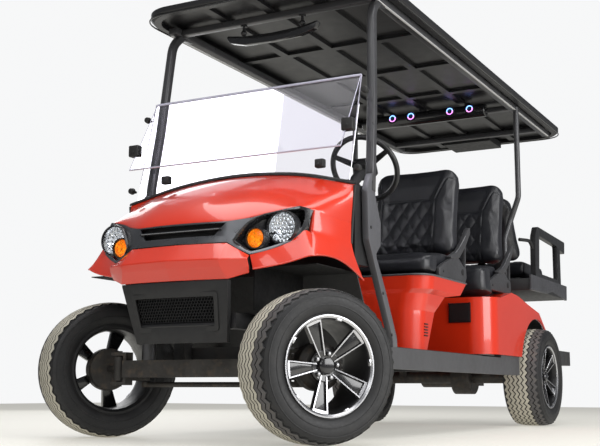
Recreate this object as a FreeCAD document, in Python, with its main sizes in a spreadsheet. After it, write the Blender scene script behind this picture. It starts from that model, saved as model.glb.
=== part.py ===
import FreeCAD, Part
import Sketcher
import math
import os
import re

# A lifted six seat electric golf cart, in millimetres.
# x points to the cart's left, y to its rear and z up, and every y is measured from the front axle line.
# The origin is on the floor at the middle of the cart's box.
# The front wheels stand turned to the cart's right.

sizes = {
    # running gear
    "wheelbase": 2795,
    "rearReach": 965,
    "tyreRadius": 292,
    "tyreWidth": 226,
    "shoulderRadius": 30,
    "sidewallStep": 14,
    "rimSeat": 178,
    "rimWall": 6,
    "lipRadius": 190,
    "lipThick": 6,
    "rimWidth": 196,
    "beadGap": 1,
    "faceInset": 34,
    "spokeDepth": 26,
    "spokeWidth": 17,
    "spokeNear": 12,
    "spokeFar": 32,
    "rimHubRadius": 62,
    "capRadius": 32,
    "capDepth": 14,
    "drumRadius": 92,
    "drumDepth": 62,
    "drumBevel": 20,
    "plateGap": 6,
    "plateThick": 8,
    "plateRadius": 88,
    "spindleRadius": 14,
    "spindleFit": 0.05,
    "spindleShort": 0.5,
    "steerAngle": 33.2,
    "kingpinX": 431,
    "spindleOffset": 154,
    "kingpinRadius": 12,
    "kingpinFit": 0.05,
    "kingpinTubeRadius": 24,
    "axleBeamTop": 326,
    "axleBeamBottom": 255,
    "axleBeamDepth": 62,
    "yokeDepth": 50,
    "yokeGap": 110,
    "yokePlate": 14,
    "yokeInner": 52,
    "yokeOuter": 26,
    "yokeClear": 5,
    "pinProud": 6,
    "steerArm": 120,
    "steerArmWidth": 22,
    "steerArmThick": 12,
    "eyeRadius": 18,
    "linkPinRadius": 6,
    "tieRodRadius": 11,
    "tieRodDrop": 16,
    "rearTrackHalf": 570,
    "rearTubeRadius": 38,
    "motorRadius": 92,
    "motorLength": 270,
    "motorBehind": 145,
    "motorRise": 30,
    "gearCaseX": 70,
    "gearCaseRadius": 105,
    "gearCaseWidth": 120,
    "springX": 277,
    "springWidth": 50,
    "leafThick": 7,
    "leafReach": 330,
    "leafRise": 70,
    "coilRadius": 30,
    # chassis
    "seatGap": 0.3,
    "railX": 215,
    "railWidth": 55,
    "railBottom": 322,
    "railTop": 384,
    "rearRailBottom": 440,
    "rearRailTop": 500,
    "railStart": 130,
    "hornStart": -152,
    "crossWidth": 50,
    "thirdCross": 1100,
    "frontOutrigger": 700,
    "rearOutrigger": 1700,
    "outriggerTall": 40,
    "riseWidth": 60,
    "railStepAhead": 365,
    "railEndBehind": 625,
    "trayPostBehind": 305,
    "floorTop": 396,
    "floorGap": 14,
    "floorFront": 460,
    "floorShort": 70,
    "toeTopY": 292,
    "toeTop": 688,
    "sillWidth": 40,
    "sillBottom": 297,
    "sillTop": 389,
    "sillStart": 557,
    "sillStepBehind": 192,
    "sillStepUp": 15,
    "sillEndBehind": 10,
    "batteryHalf": 330,
    "batteryGap": 10,
    "batteryLength": 400,
    "batteryTall": 270,
    # front body
    "panelWall": 6,
    "footHalf": 574,
    "footCentreZ": 1131,
    "footCornerZ": 1042,
    "footCornerY": 228,
    "paneSlope": 0.28,
    "sideHalf": 560,
    "flareHalf": 578,
    "hoodFrontY": -190,
    "hoodFrontZ": 860,
    "bandTall": 88,
    "crestReach": 75,
    "crestZ": 700,
    "creaseZ": 668,
    "chinZ": 622,
    "blockHalf": 330,
    "bumperHalf": 228,
    "lampFrame": 10,
    "bandWall": 10,
    "fasciaHalf": 253,
    "fasciaLowHalf": 215,
    "fasciaLow": 384,
    "fasciaLowY": -168,
    "fasciaThick": 30,
    "grilleInset": 44,
    "grilleDepth": 14,
    "headlampX": 409,
    "headlampY": -75,
    "headlampZ": 831,
    "headlampRadius": 58,
    "amberX": 323,
    "amberY": -131,
    "amberZ": 786,
    "amberRadius": 34,
    "lampDepth": 60,
    "linerWall": 4,
    "linerInner": 296,
    "linerTop": 686,
    "linerLow": 510,
    "shelfReach": 62,
    "linerReach": 110,
    "rearLinerIn": 445,
    # cab
    "dashFront": 264,
    "dashGap": 6,
    "dashTop": 1060,
    "dashLow": 720,
    "dashRear": 430,
    "columnX": 300,
    "wheelHubAhead": 159,
    "wheelHubZ": 1269,
    "wheelRadius": 165,
    "wheelGrip": 14,
    "wheelDish": 45,
    "hubRadius": 45,
    "cardWide": 110,
    "cardTall": 90,
    "cardDeep": 26,
    "columnRadius": 26,
    "columnTilt": 55,
    "throttleX": 210,
    "throttleWidth": 70,
    "brakeX": 340,
    "brakeWidth": 90,
    "pedalTall": 110,
    "pedalY": 400,
    "pedalZ": 520,
    "podAhead": 30,
    "podDepth": 151,
    "podFlare": 54,
    "podCorner": 105,
    "podRearCorner": 30,
    "podBeyondRestraint": 9,
    "podFrontLean": 7,
    "podBehindBack": 130,
    "podTop": 757,
    "podWall": 8,
    "trimThick": 7,
    "bodyBehindFloor": 10,
    "bodyBeyondRestraint": 47,
    "bodyCorner": 130,
    "bodyTop": 714,
    "bodyArchRadius": 345,
    "archRise": 8,
    "portInset": 177,
    "portZ": 630,
    "portHalfWide": 57,
    "portHalfTall": 47,
    "portLip": 6,
    "portDepth": 44,
    "portWall": 6,
    "lidThick": 4,
    "lidGap": 0.5,
    "lidPinRadius": 1.6,
    "lidBarrelRadius": 3,
    # seats
    "seatHalf": 522,
    "rearSeatIn": 34,
    "frontCushionTop": 915,
    "frontNoseTop": 852,
    "frontNoseIn": 8,
    "middleCushionTop": 937,
    "middleNoseTop": 868,
    "middleNoseLow": 724,
    "middleNoseIn": 25,
    "noseDepth": 160,
    "noseRound": 60,
    "cushionDepth": 410,
    "backLow": 915,
    "backHigh": 1395,
    "backThick": 140,
    "backBehindFront": 425,
    "backLean": 100,
    "backCorner": 40,
    "backTopRound": 95,
    "backLowRound": 60,
    "backPartHalf": 50,
    "rowPitch": 787,
    "middleOverhang": 28,
    "rowRise": 52,
    "rearBackBehind": 135,
    "rearBackLean": 200,
    "rearBackLow": 1062,
    "rearBackHigh": 1420,
    "rearBackThick": 130,
    "rearCushionGap": 15,
    "rearCushionDepth": 455,
    "rearCushionZ": 930,
    "rearCushionThick": 110,
    "frameX": 380,
    "frameWidth": 44,
    "frameThick": 12,
    "restraintGap": 5,
    "restraintThick": 26,
    "bladeWidth": 36,
    "legWidth": 12,
    "armGap": 21,
    "armWidth": 34,
    "armTubeRadius": 11,
    "trayTop": 930,
    "trayLow": 822,
    "trayFloor": 900,
    "trayFloorThick": 74,
    "trayAhead": 48,
    "trayBehind": 817,
    "trayBeyondArm": 15,
    "trayWall": 14,
    "footboardHalf": 560,
    "footboardLow": 382,
    "footboardLip": 95,
    "footboardDepth": 280,
    "footboardThick": 6,
    "strapWidth": 40,
    # canopy
    "canopyBeyondRail": 76,
    "canopyFront": 285,
    "canopyBehind": 810,
    "canopyLow": 1972,
    "canopyLip": 38,
    "canopyRise": 34,
    "canopyCorner": 170,
    "canopySlope": 90,
    "canopyRim": 42,
    "canopyRecess": 24,
    "ribTall": 16,
    "ribWidth": 44,
    "ribX": 260,
    "railInsideStrut": 19,
    "canopyRailWidth": 50,
    "canopyRailTall": 34,
    "crossBarY": 540,
    "strutWidth": 42,
    "strutThick": 38,
    "sleeveThick": 28,
    "strutBeyondRail": 40,
    "strutLean": 2.7,
    "strutLeanZ": 1117,
    "rearStrutGap": 16,
    "rearStrutTuck": 52,
    "rearStrutAhead": 155,
    "rearStrutRadius": 17,
    "paneThick": 5,
    "paneHalf": 545,
    "paneTop": 1551,
    "stripTall": 16,
    "stripThick": 12,
    "foldedHalf": 540,
    "bigClip": 56,
    "bigClipDeep": 40,
    "bigClipX": 9,
    "bigClipShare": 0.281,
    "smallClip": 44,
    "smallClipDeep": 34,
    "smallClipInset": 148,
    "smallClipZ": 1155,
    "foldedLow": 1199,
    "foldedLowY": 171,
    "foldedTopY": 374,
    "mirrorHalf": 250,
    "mirrorZ": 1870,
    "mirrorTall": 62,
    "mirrorThick": 30,
    "mirrorStemX": 160,
    "soundHalf": 415,
    "soundAhead": 160,
    "soundRadius": 42,
    "soundDrop": 12,
    "roofBoxHalf": 170,
    "roofBoxAhead": 305,
    "roofBoxDepth": 260,
    "roofBoxTall": 44,
}

# places that follow from the sizes: the seats set the widths, and the rear axle sets where the seats stand
follows = {
    "restraintX": "seatHalf + restraintGap + restraintThick / 2",
    "armX": "seatHalf + armGap + armWidth / 2",
    "trayHalf": "armX + armWidth / 2 + trayBeyondArm",
    "podTopHalf": "restraintX + restraintThick / 2 + podBeyondRestraint",
    "podHalf": "podTopHalf - podFlare",
    "bodyHalf": "restraintX + restraintThick / 2 + bodyBeyondRestraint",
    "portX": "bodyHalf - portInset",
    "rearStrutX": "seatHalf + rearStrutGap + rearStrutRadius",
    "rearStrutInX": "seatHalf - rearStrutTuck",
    "canopyRailX": "rearStrutX - railInsideStrut",
    "canopyHalf": "canopyRailX + canopyBeyondRail",
    "strutX": "canopyRailX + strutBeyondRail",
    "sillHalf": "strutX + sleeveThick / 2",
    "dashHalf": "strutX - sleeveThick / 2 - dashGap",
    "floorHalf": "strutX - sleeveThick / 2 - floorGap",
    "railStep": "wheelbase - railStepAhead",
    "railEnd": "wheelbase + railEndBehind",
    "trayPostY": "wheelbase + trayPostBehind",
    "batteryFront": "railStep - riseWidth - batteryGap - batteryLength",
    "floorEnd": "batteryFront - floorShort",
    "bodyFront": "floorEnd + bodyBehindFloor",
    "sillStep": "bodyFront + sillStepBehind",
    "sillEnd": "railStep + sillEndBehind",
    "cushionFront": "bodyFront - middleOverhang - rowPitch",
    "backLowY": "cushionFront + backBehindFront",
    "backHighY": "backLowY + backLean",
    "wheelHubY": "cushionFront - wheelHubAhead",
    "podFront": "cushionFront - podAhead",
    "podRear": "podFront + podDepth",
    "podTopFront": "podFront + podFrontLean",
    "podTopRear": "backLowY + podBehindBack",
    "rearBackLowY": "wheelbase + rearBackBehind",
    "rearBackHighY": "rearBackLowY - rearBackLean",
    "rearCushionFront": "rearBackLowY + rearCushionGap",
    "rearCushionEnd": "rearCushionFront + rearCushionDepth",
    "trayFront": "wheelbase - trayAhead",
    "trayEnd": "wheelbase + trayBehind",
    "canopyEnd": "wheelbase + canopyBehind",
    "rearStrutY": "wheelbase - rearStrutAhead",
    "soundY": "rearStrutY - soundAhead",
    "roofBoxY": "canopyEnd - roofBoxAhead",
}

doc = FreeCAD.newDocument("GolfCart")
sheet = doc.addObject("Spreadsheet::Sheet", "Sizes")
for row, (name, number) in enumerate(sizes.items(), 1):
    sheet.set(f"A{row}", name)
    sheet.set(f"B{row}", str(number))
    sheet.setAlias(f"B{row}", name)
doc.recompute()

nodes = []
vector = FreeCAD.Vector

# how far the turned front tyre reaches ahead of the front axle line
frontReach = ("(spindleOffset * sin(steerAngle) + (tyreRadius - shoulderRadius) * cos(steerAngle)"
              " + (tyreWidth / 2 - shoulderRadius) * sin(steerAngle) + shoulderRadius)")
frontAxle = f"(-(wheelbase + rearReach - {frontReach}) / 2)"


def cell(word):
    # a size is pointed at its cell, and a place that follows from sizes is spelled out
    name = word[0]
    if name in follows:
        return "(" + ref(follows[name]) + ")"
    return "Sizes." + name if name in sizes else name


def ref(text):
    return re.sub(r"[A-Za-z]\w*", cell, str(text))


def value(text):
    return float(sheet.evalExpression(ref(text)))


def place(thing, x, y, z):
    # y counts from the front axle line
    thing.setExpression("Placement.Base.x", ref(x))
    thing.setExpression("Placement.Base.y", ref(f"{frontAxle} + ({y})"))
    thing.setExpression("Placement.Base.z", ref(z))
    return thing


def node(label, thing):
    thing.Label = label
    nodes.append(thing)
    return thing


def block(name, x, y, z):
    # a box from its low and high sides
    box = doc.addObject("Part::Box", name)
    for side, (low, high) in (("Length", x), ("Width", y), ("Height", z)):
        box.setExpression(side, ref(f"({high}) - ({low})"))
    return place(box, x[0], y[0], z[0])


turns = {
    "x": FreeCAD.Rotation(vector(0, 1, 0), 90),
    "y": FreeCAD.Rotation(vector(1, 0, 0), -90),
    "z": FreeCAD.Rotation(),
}


def rod(name, axis, radius, start, length):
    # a round bar that starts at a point and runs along +x, +y or +z
    bar = doc.addObject("Part::Cylinder", name)
    bar.setExpression("Radius", ref(radius))
    bar.setExpression("Height", ref(length))
    bar.Placement = FreeCAD.Placement(vector(), turns[axis])
    return place(bar, *start)


def group(name, things):
    # solids that share a node without touching
    bundle = doc.addObject("Part::Compound", name)
    bundle.Links = things
    return bundle


def fuse(name, things):
    joined = doc.addObject("Part::MultiFuse", name)
    joined.Shapes = things
    joined.Refine = True
    return joined


def cut(name, base, tool):
    carved = doc.addObject("Part::Cut", name)
    carved.Base = base
    carved.Tool = tool
    carved.Refine = True
    return carved


def mirror(thing):
    # the same piece on the cart's other side
    twin = doc.addObject("Part::Mirroring", thing.Name + "Twin")
    twin.Source = thing
    twin.Normal = vector(1, 0, 0)
    return twin


def outline(sketch, points):
    # a closed outline of (u, v) places, run anticlockwise; a third entry is the radius of the arc
    # that leads to the next point, bulging outwards, or inwards where it starts with a minus
    spots = [vector(value(point[0]), value(point[1]), 0) for point in points]
    ends = []
    arcs = []
    for index, point in enumerate(points):
        start = spots[index]
        finish = spots[(index + 1) % len(spots)]
        if len(point) < 3:
            sketch.addGeometry(Part.LineSegment(start, finish), False)
            ends.append((1, 2))
            continue
        inward = point[2].startswith("-")
        radius = value(point[2].lstrip("-"))
        chord = finish - start
        rise = math.sqrt(max(radius ** 2 - (chord.Length / 2) ** 2, 0))
        side = vector(-chord.y, chord.x, 0).normalize() * (-rise if inward else rise)
        centre = (start + finish) * 0.5 + side
        first, last = (finish, start) if inward else (start, finish)
        circle = Part.Circle(centre, vector(0, 0, 1), radius)
        angles = [math.atan2(spot.y - centre.y, spot.x - centre.x) for spot in (first, last)]
        sketch.addGeometry(Part.ArcOfCircle(circle, angles[0], angles[1]), False)
        ends.append((2, 1) if inward else (1, 2))
        arcs.append((index, point[2].lstrip("-")))
    for index in range(len(points)):
        following = (index + 1) % len(points)
        sketch.addConstraint(Sketcher.Constraint("Coincident", index, ends[index][1], following, ends[following][0]))
    for index, point in enumerate(points):
        for kind, text, number in (("DistanceX", point[0], spots[index].x), ("DistanceY", point[1], spots[index].y)):
            held = sketch.addConstraint(Sketcher.Constraint(kind, -1, 1, index, ends[index][0], number))
            sketch.setExpression(f"Constraints[{held}]", ref(text))
    for index, text in arcs:
        held = sketch.addConstraint(Sketcher.Constraint("Radius", index, value(text)))
        sketch.setExpression(f"Constraints[{held}]", ref(text))


def sketchOn(body, name, plane, offset="0"):
    # an empty sketch on one of the body's own planes, moved along that plane's normal
    sketch = body.newObject("Sketcher::SketchObject", name)
    face = [feature for feature in body.Origin.OriginFeatures if feature.Role == plane][0]
    sketch.AttachmentSupport = [(face, "")]
    sketch.MapMode = "FlatFace"
    sketch.setExpression("AttachmentOffset.Base.z", ref(offset))
    return sketch


def plate(name, plane, points, low, high):
    # an outline with a thickness: along x for the YZ plane, along y for XZ and along z for XY
    body = doc.addObject("PartDesign::Body", name)
    start = f"-({high})" if plane == "XZ_Plane" else low
    sketch = sketchOn(body, name + "Outline", plane, start)
    outline(sketch, points)
    pad = body.newObject("PartDesign::Pad", name + "Pad")
    pad.Profile = sketch
    pad.setExpression("Length", ref(f"({high}) - ({low})"))
    return place(body, "0", "0", "0")


def ring(name, points, placement):
    # an outline in (along the axle, out from it) turned round the x axis
    body = doc.addObject("PartDesign::Body", name)
    sketch = sketchOn(body, name + "Profile", "XZ_Plane")
    outline(sketch, points)
    turn = body.newObject("PartDesign::Revolution", name + "Turn")
    turn.Profile = sketch
    turn.ReferenceAxis = (sketch, ["H_Axis"])
    turn.Angle = 360
    body.Placement = placement
    return body


def feature(name, shape):
    # a shape of its own, moved back by the front axle's place
    piece = doc.addObject("Part::Feature", name)
    piece.Shape = shape
    piece.Placement = FreeCAD.Placement(vector(0, value(frontAxle), 0), FreeCAD.Rotation())
    return piece


def softWire(spots, radii):
    # a closed wire through the spots with round corners
    edges = []
    joins = []
    for index, spot in enumerate(spots):
        before = spots[index - 1] - spot
        after = spots[(index + 1) % len(spots)] - spot
        radius = radii[index]
        half = before.getAngle(after) / 2
        reach = radius / math.tan(half)
        into = vector(before).normalize()
        out = vector(after).normalize()
        middle = vector(into + out).normalize() * (radius / math.sin(half) - radius)
        joins.append((spot + into * reach, spot + middle, spot + out * reach))
    for index, (start, middle, end) in enumerate(joins):
        edges.append(Part.Arc(start, middle, end).toShape())
        following = joins[(index + 1) % len(joins)][0]
        edges.append(Part.LineSegment(end, following).toShape())
    return Part.Wire(edges)


def softBox(x, y, z, radius, rear=None):
    # a closed wire of a level rectangle with round corners, the rear two of their own radius if given
    spots = [vector(x[0], y[0], z), vector(x[1], y[0], z), vector(x[1], y[1], z), vector(x[0], y[1], z)]
    rear = radius if rear is None else rear
    return softWire(spots, [radius, radius, rear, rear])


def stripe(path, width, x):
    # a bar of square section that follows a path of (y, z) places, from x[0] to x[1]
    spots = [vector(0, y, z) for y, z in path]
    left = []
    right = []
    for index, spot in enumerate(spots):
        before = (spot - spots[index - 1]).normalize() if index else None
        after = (spots[index + 1] - spot).normalize() if index < len(spots) - 1 else before
        before = before or after
        normals = [vector(0, -way.z, way.y) for way in (before, after)]
        middle = (normals[0] + normals[1]).normalize()
        reach = width / 2 / math.cos(normals[0].getAngle(middle))
        left.append(spot + middle * reach)
        right.append(spot - middle * reach)
    corners = left + right[::-1]
    face = Part.Face(Part.makePolygon(corners + corners[:1]))
    face.translate(vector(x[0], 0, 0))
    return face.extrude(vector(x[1] - x[0], 0, 0))


# wheels

def wheelPlace(side, front):
    # outboard is the wheel's own +x
    spin = FreeCAD.Rotation(vector(0, 0, 1), 0 if side > 0 else 180)
    if not front:
        return FreeCAD.Placement(vector(side * value("rearTrackHalf"), value(f"{frontAxle} + wheelbase"),
                                        value("tyreRadius")), spin)
    return knucklePlace(side).multiply(FreeCAD.Placement(vector(value("spindleOffset"), 0, 0), FreeCAD.Rotation()))


def knucklePlace(side):
    # on the kingpin, with +x towards the wheel, turned by the steering
    turn = -value("steerAngle") + (0 if side > 0 else 180)
    return FreeCAD.Placement(vector(side * value("kingpinX"), value(frontAxle), value("tyreRadius")),
                             FreeCAD.Rotation(vector(0, 0, 1), turn))


def tyre(name, placement):
    points = [
        ("-rimWidth / 2 + beadGap", "rimSeat + seatGap"),
        ("rimWidth / 2 - beadGap", "rimSeat + seatGap"),
        ("rimWidth / 2 - beadGap", "lipRadius + 2 * beadGap"),
        ("tyreWidth / 2", "lipRadius + 2 * beadGap + sidewallStep"),
        ("tyreWidth / 2", "tyreRadius - shoulderRadius", "shoulderRadius"),
        ("tyreWidth / 2 - shoulderRadius", "tyreRadius"),
        ("-tyreWidth / 2 + shoulderRadius", "tyreRadius", "shoulderRadius"),
        ("-tyreWidth / 2", "tyreRadius - shoulderRadius"),
        ("-tyreWidth / 2", "lipRadius + 2 * beadGap + sidewallStep"),
        ("-rimWidth / 2 + beadGap", "lipRadius + 2 * beadGap"),
    ]
    return node(name, ring(name, points, placement))


def disc(body, name, offset, radius, depth):
    # a round pad about the wheel's axis
    sketch = sketchOn(body, name, "YZ_Plane", offset)
    sketch.addGeometry(Part.Circle(vector(), vector(0, 0, 1), value(radius)), False)
    held = sketch.addConstraint(Sketcher.Constraint("Radius", 0, value(radius)))
    sketch.setExpression(f"Constraints[{held}]", ref(radius))
    sketch.addConstraint(Sketcher.Constraint("Coincident", 0, 3, -1, 1))
    pad = body.newObject("PartDesign::Pad", name + "Pad")
    pad.Profile = sketch
    pad.setExpression("Length", ref(depth))
    return pad


def rim(name, placement):
    # barrel with two lips, hub disc, five pairs of spokes and a cap, with the brake drum behind the disc
    half = "(rimWidth / 2)"
    points = [
        (f"-{half} - lipThick", "rimSeat - rimWall"),
        (f"{half} + lipThick", "rimSeat - rimWall"),
        (f"{half} + lipThick", "lipRadius"),
        (half, "lipRadius"),
        (half, "rimSeat"),
        (f"-{half}", "rimSeat"),
        (f"-{half}", "lipRadius"),
        (f"-{half} - lipThick", "lipRadius"),
    ]
    body = ring(name, points, placement)
    face = f"({half} + lipThick - faceInset)"
    back = f"({face} - spokeDepth)"
    disc(body, name + "Disc", back, "rimHubRadius", "spokeDepth")
    for side in (-1, 1):
        spoke = sketchOn(body, f"{name}Spoke{side + 1}", "YZ_Plane", back)
        near, far = f"{side} * spokeNear", f"{side} * spokeFar"
        outer = "(rimSeat - rimWall / 2 - 2)"
        outline(spoke, [
            (f"{near} - spokeWidth / 2", "capRadius"),
            (f"{near} + spokeWidth / 2", "capRadius"),
            (f"{far} + spokeWidth / 2", outer),
            (f"{far} - spokeWidth / 2", outer),
        ])
        pad = body.newObject("PartDesign::Pad", f"{name}SpokePad{side + 1}")
        pad.Profile = spoke
        pad.setExpression("Length", ref("spokeDepth"))
        around = body.newObject("PartDesign::PolarPattern", f"{name}Spokes{side + 1}")
        around.Originals = [pad]
        around.Axis = (spoke, ["N_Axis"])
        around.Angle = 360
        around.Occurrences = 5
        body.Tip = around
    body.Tip = disc(body, name + "Cap", face, "capRadius", "capDepth")
    drum = sketchOn(body, name + "Drum", "XZ_Plane")
    outline(drum, [
        (f"{back} - drumDepth", "spindleRadius + spindleFit"),
        (back, "spindleRadius + spindleFit"),
        (back, "drumRadius - drumBevel"),
        (f"{back} - drumBevel", "drumRadius"),
        (f"{back} - drumDepth", "drumRadius"),
    ])
    turn = body.newObject("PartDesign::Revolution", name + "DrumTurn")
    turn.Profile = drum
    turn.ReferenceAxis = (drum, ["H_Axis"])
    turn.Angle = 360
    body.Tip = turn
    return node(name, body)


for end, front in (("front", True), ("rear", False)):
    for label, side in (("left", 1), ("right", -1)):
        seat = wheelPlace(side, front)
        tyre(f"tyre_{end}_{label}", seat)
        rim(f"rim_{end}_{label}", seat)


def sided(side, near, far):
    # two x places on one side of the cart, in rising order
    return (f"{near}", f"{far}") if side > 0 else (f"-({far})", f"-({near})")


def sideName(side):
    return "Left" if side > 0 else "Right"


# front axle: a box beam with an open yoke at each end that holds the kingpin
yokeTop = "(tyreRadius + yokeGap / 2)"
yokeLow = "(tyreRadius - yokeGap / 2)"
yokeWeb = "(kingpinX - yokeInner + yokePlate)"
beamPieces = [block("axleBeam", (f"-{yokeWeb}", yokeWeb), ("-axleBeamDepth / 2", "axleBeamDepth / 2"),
                    ("axleBeamBottom", "axleBeamTop"))]
for side in (-1, 1):
    name = sideName(side)
    arms = sided(side, "(kingpinX - yokeInner)", "(kingpinX + yokeOuter)")
    depth = ("-yokeDepth / 2", "yokeDepth / 2")
    beamPieces.append(block("yokeTop" + name, arms, depth, (yokeTop, f"{yokeTop} + yokePlate")))
    beamPieces.append(block("yokeLow" + name, arms, depth, (f"{yokeLow} - yokePlate", yokeLow)))
    beamPieces.append(block("yokeWeb" + name, sided(side, "(kingpinX - yokeInner)", yokeWeb), depth,
                            (f"{yokeLow} - yokePlate", f"{yokeTop} + yokePlate")))
    beamPieces.append(rod("kingpin" + name, "z", "kingpinRadius",
                          (f"{side} * kingpinX", "0", f"{yokeLow} - yokePlate - pinProud"),
                          "yokeGap + 2 * (yokePlate + pinProud)"))
node("axle_beam_front", fuse("axleBeamFront", beamPieces))

# knuckles: a tube on the kingpin, a spindle to the wheel, a backing plate and a steering arm
drumFace = value("rimWidth / 2 + lipThick - faceInset - spokeDepth")
plateX = value("spindleOffset") + drumFace - value("drumDepth + plateGap + plateThick")
tubeTall = value("yokeGap - 2 * yokeClear")
armLow = -tubeTall / 2
for label, side in (("left", 1), ("right", -1)):
    tube = Part.makeCylinder(value("kingpinTubeRadius"), tubeTall, vector(0, 0, armLow))
    spindle = Part.makeCylinder(value("spindleRadius"), value("spindleOffset - spindleShort") + drumFace,
                                vector(), vector(1, 0, 0))
    flange = Part.makeCylinder(value("plateRadius"), value("plateThick"), vector(plateX, 0, 0), vector(1, 0, 0))
    armWide = value("steerArmWidth")
    arm = Part.makeBox(armWide, value("steerArm"), value("steerArmThick"), vector(-armWide / 2, 0, armLow))
    if side < 0:
        arm = arm.mirror(vector(), vector(0, 1, 0))
    reach = side * value("steerArm")
    eye = Part.makeCylinder(value("eyeRadius"), value("steerArmThick"), vector(0, reach, armLow))
    bore = Part.makeCylinder(value("kingpinRadius + kingpinFit"), tubeTall + 2, vector(0, 0, armLow - 1))
    pinBore = Part.makeCylinder(value("linkPinRadius + kingpinFit"), tubeTall, vector(0, reach, 1.5 * armLow))
    shape = tube.fuse([spindle, flange, arm, eye]).cut(bore).cut(pinBore).removeSplitter()
    knuckle = doc.addObject("Part::Feature", "knuckle" + label.title())
    knuckle.Shape = shape
    knuckle.Placement = knucklePlace(side)
    node(f"knuckle_{label}", knuckle)

# tie rod between the two steering arms, with a pin through the left eye
armTurn = math.radians(value("steerAngle"))
armY = value("steerArm") * math.cos(armTurn)
armX = value("steerArm") * math.sin(armTurn)
armZ = value("tyreRadius") + armLow
rodZ = armZ - value("tieRodDrop")
eyeTall = 20
leftEye = vector(value("kingpinX") + armX, armY, rodZ)
rightEye = vector(-value("kingpinX") + armX, armY, rodZ)
bar = Part.makeCylinder(value("tieRodRadius"), (leftEye - rightEye).Length, rightEye, vector(1, 0, 0))
eyes = [Part.makeCylinder(value("eyeRadius") - 1, eyeTall, eye - vector(0, 0, eyeTall / 2))
        for eye in (leftEye, rightEye)]
pin = Part.makeCylinder(value("linkPinRadius"), value("tieRodDrop + steerArmThick") + 3, leftEye)
node("tie_rod", feature("tieRod", bar.fuse(eyes + [pin]).removeSplitter()))


# rear leaf springs, front spring and damper units
def leafPack(x, y, seat, leaves):
    # arched leaves, the longest on top, each one resting on the next
    pieces = []
    for index in range(leaves):
        share = 1 - 0.2 * index
        reach = value("leafReach") * share
        lift = value("leafRise") * share ** 2
        spots = []
        for edge in (0, value("leafThick")):
            level = seat - index * value("leafThick") + edge
            spots.append([vector(x, y - reach, level + lift), vector(x, y, level), vector(x, y + reach, level + lift)])
        low, high = spots
        edges = [Part.Arc(*low).toShape(), Part.LineSegment(low[2], high[2]).toShape(),
                 Part.Arc(*high).toShape(), Part.LineSegment(high[0], low[0]).toShape()]
        pieces.append(Part.Face(Part.Wire(edges)).extrude(vector(value("springWidth"), 0, 0)))
    return pieces[0].fuse(pieces[1:])


leaves = 4
springPad = value("tyreRadius + rearTubeRadius") + 2
leafSeat = springPad + (leaves - 1) * value("leafThick")
springs = []
for side in (-1, 1):
    centre = side * value("springX")
    springs.append(leafPack(centre - value("springWidth") / 2, value("wheelbase"), leafSeat, leaves))
    springs.append(Part.makeCylinder(value("coilRadius"), value("rearRailTop - axleBeamTop"),
                                     vector(centre, 0, value("axleBeamTop"))))
node("springs_and_dampers", feature("springs", Part.makeCompound(springs)))

# rear axle with its gear case and motor, and a pad under each leaf spring
axleEnd = "(rearTrackHalf + rimWidth / 2 + lipThick - faceInset - spokeDepth - spindleShort)"
plateEnd = "(rearTrackHalf + rimWidth / 2 + lipThick - faceInset - spokeDepth - drumDepth - plateGap)"
caseBack = "(wheelbase + motorBehind + 45)"
axlePieces = [
    rod("rearSpindle", "x", "spindleRadius", (f"-{axleEnd}", "wheelbase", "tyreRadius"), f"2 * {axleEnd}"),
    rod("rearTube", "x", "rearTubeRadius", (f"-{plateEnd}", "wheelbase", "tyreRadius"), f"2 * {plateEnd}"),
    rod("gearCase", "x", "gearCaseRadius", ("gearCaseX", "wheelbase", "tyreRadius"), "gearCaseWidth"),
    rod("motor", "x", "motorRadius", ("gearCaseX - motorLength", "wheelbase + motorBehind", "tyreRadius + motorRise"),
        "motorLength"),
    block("motorNeck", ("gearCaseX", "gearCaseX + gearCaseWidth"), ("wheelbase", caseBack),
          ("tyreRadius - gearCaseRadius / 2", "tyreRadius + gearCaseRadius")),
]
for side in (-1, 1):
    name = sideName(side)
    axlePieces.append(rod("backingPlate" + name, "x", "plateRadius",
                          (f"{plateEnd} - plateThick" if side > 0 else f"-{plateEnd}", "wheelbase", "tyreRadius"),
                          "plateThick"))
    axlePieces.append(block("springPad" + name, sided(side, "(springX - springWidth / 2)", "(springX + springWidth / 2)"),
                            ("wheelbase - rearTubeRadius", "wheelbase + rearTubeRadius"),
                            ("tyreRadius", "tyreRadius + rearTubeRadius + 2")))
node("rear_axle_motor", fuse("rearAxle", axlePieces))

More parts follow.
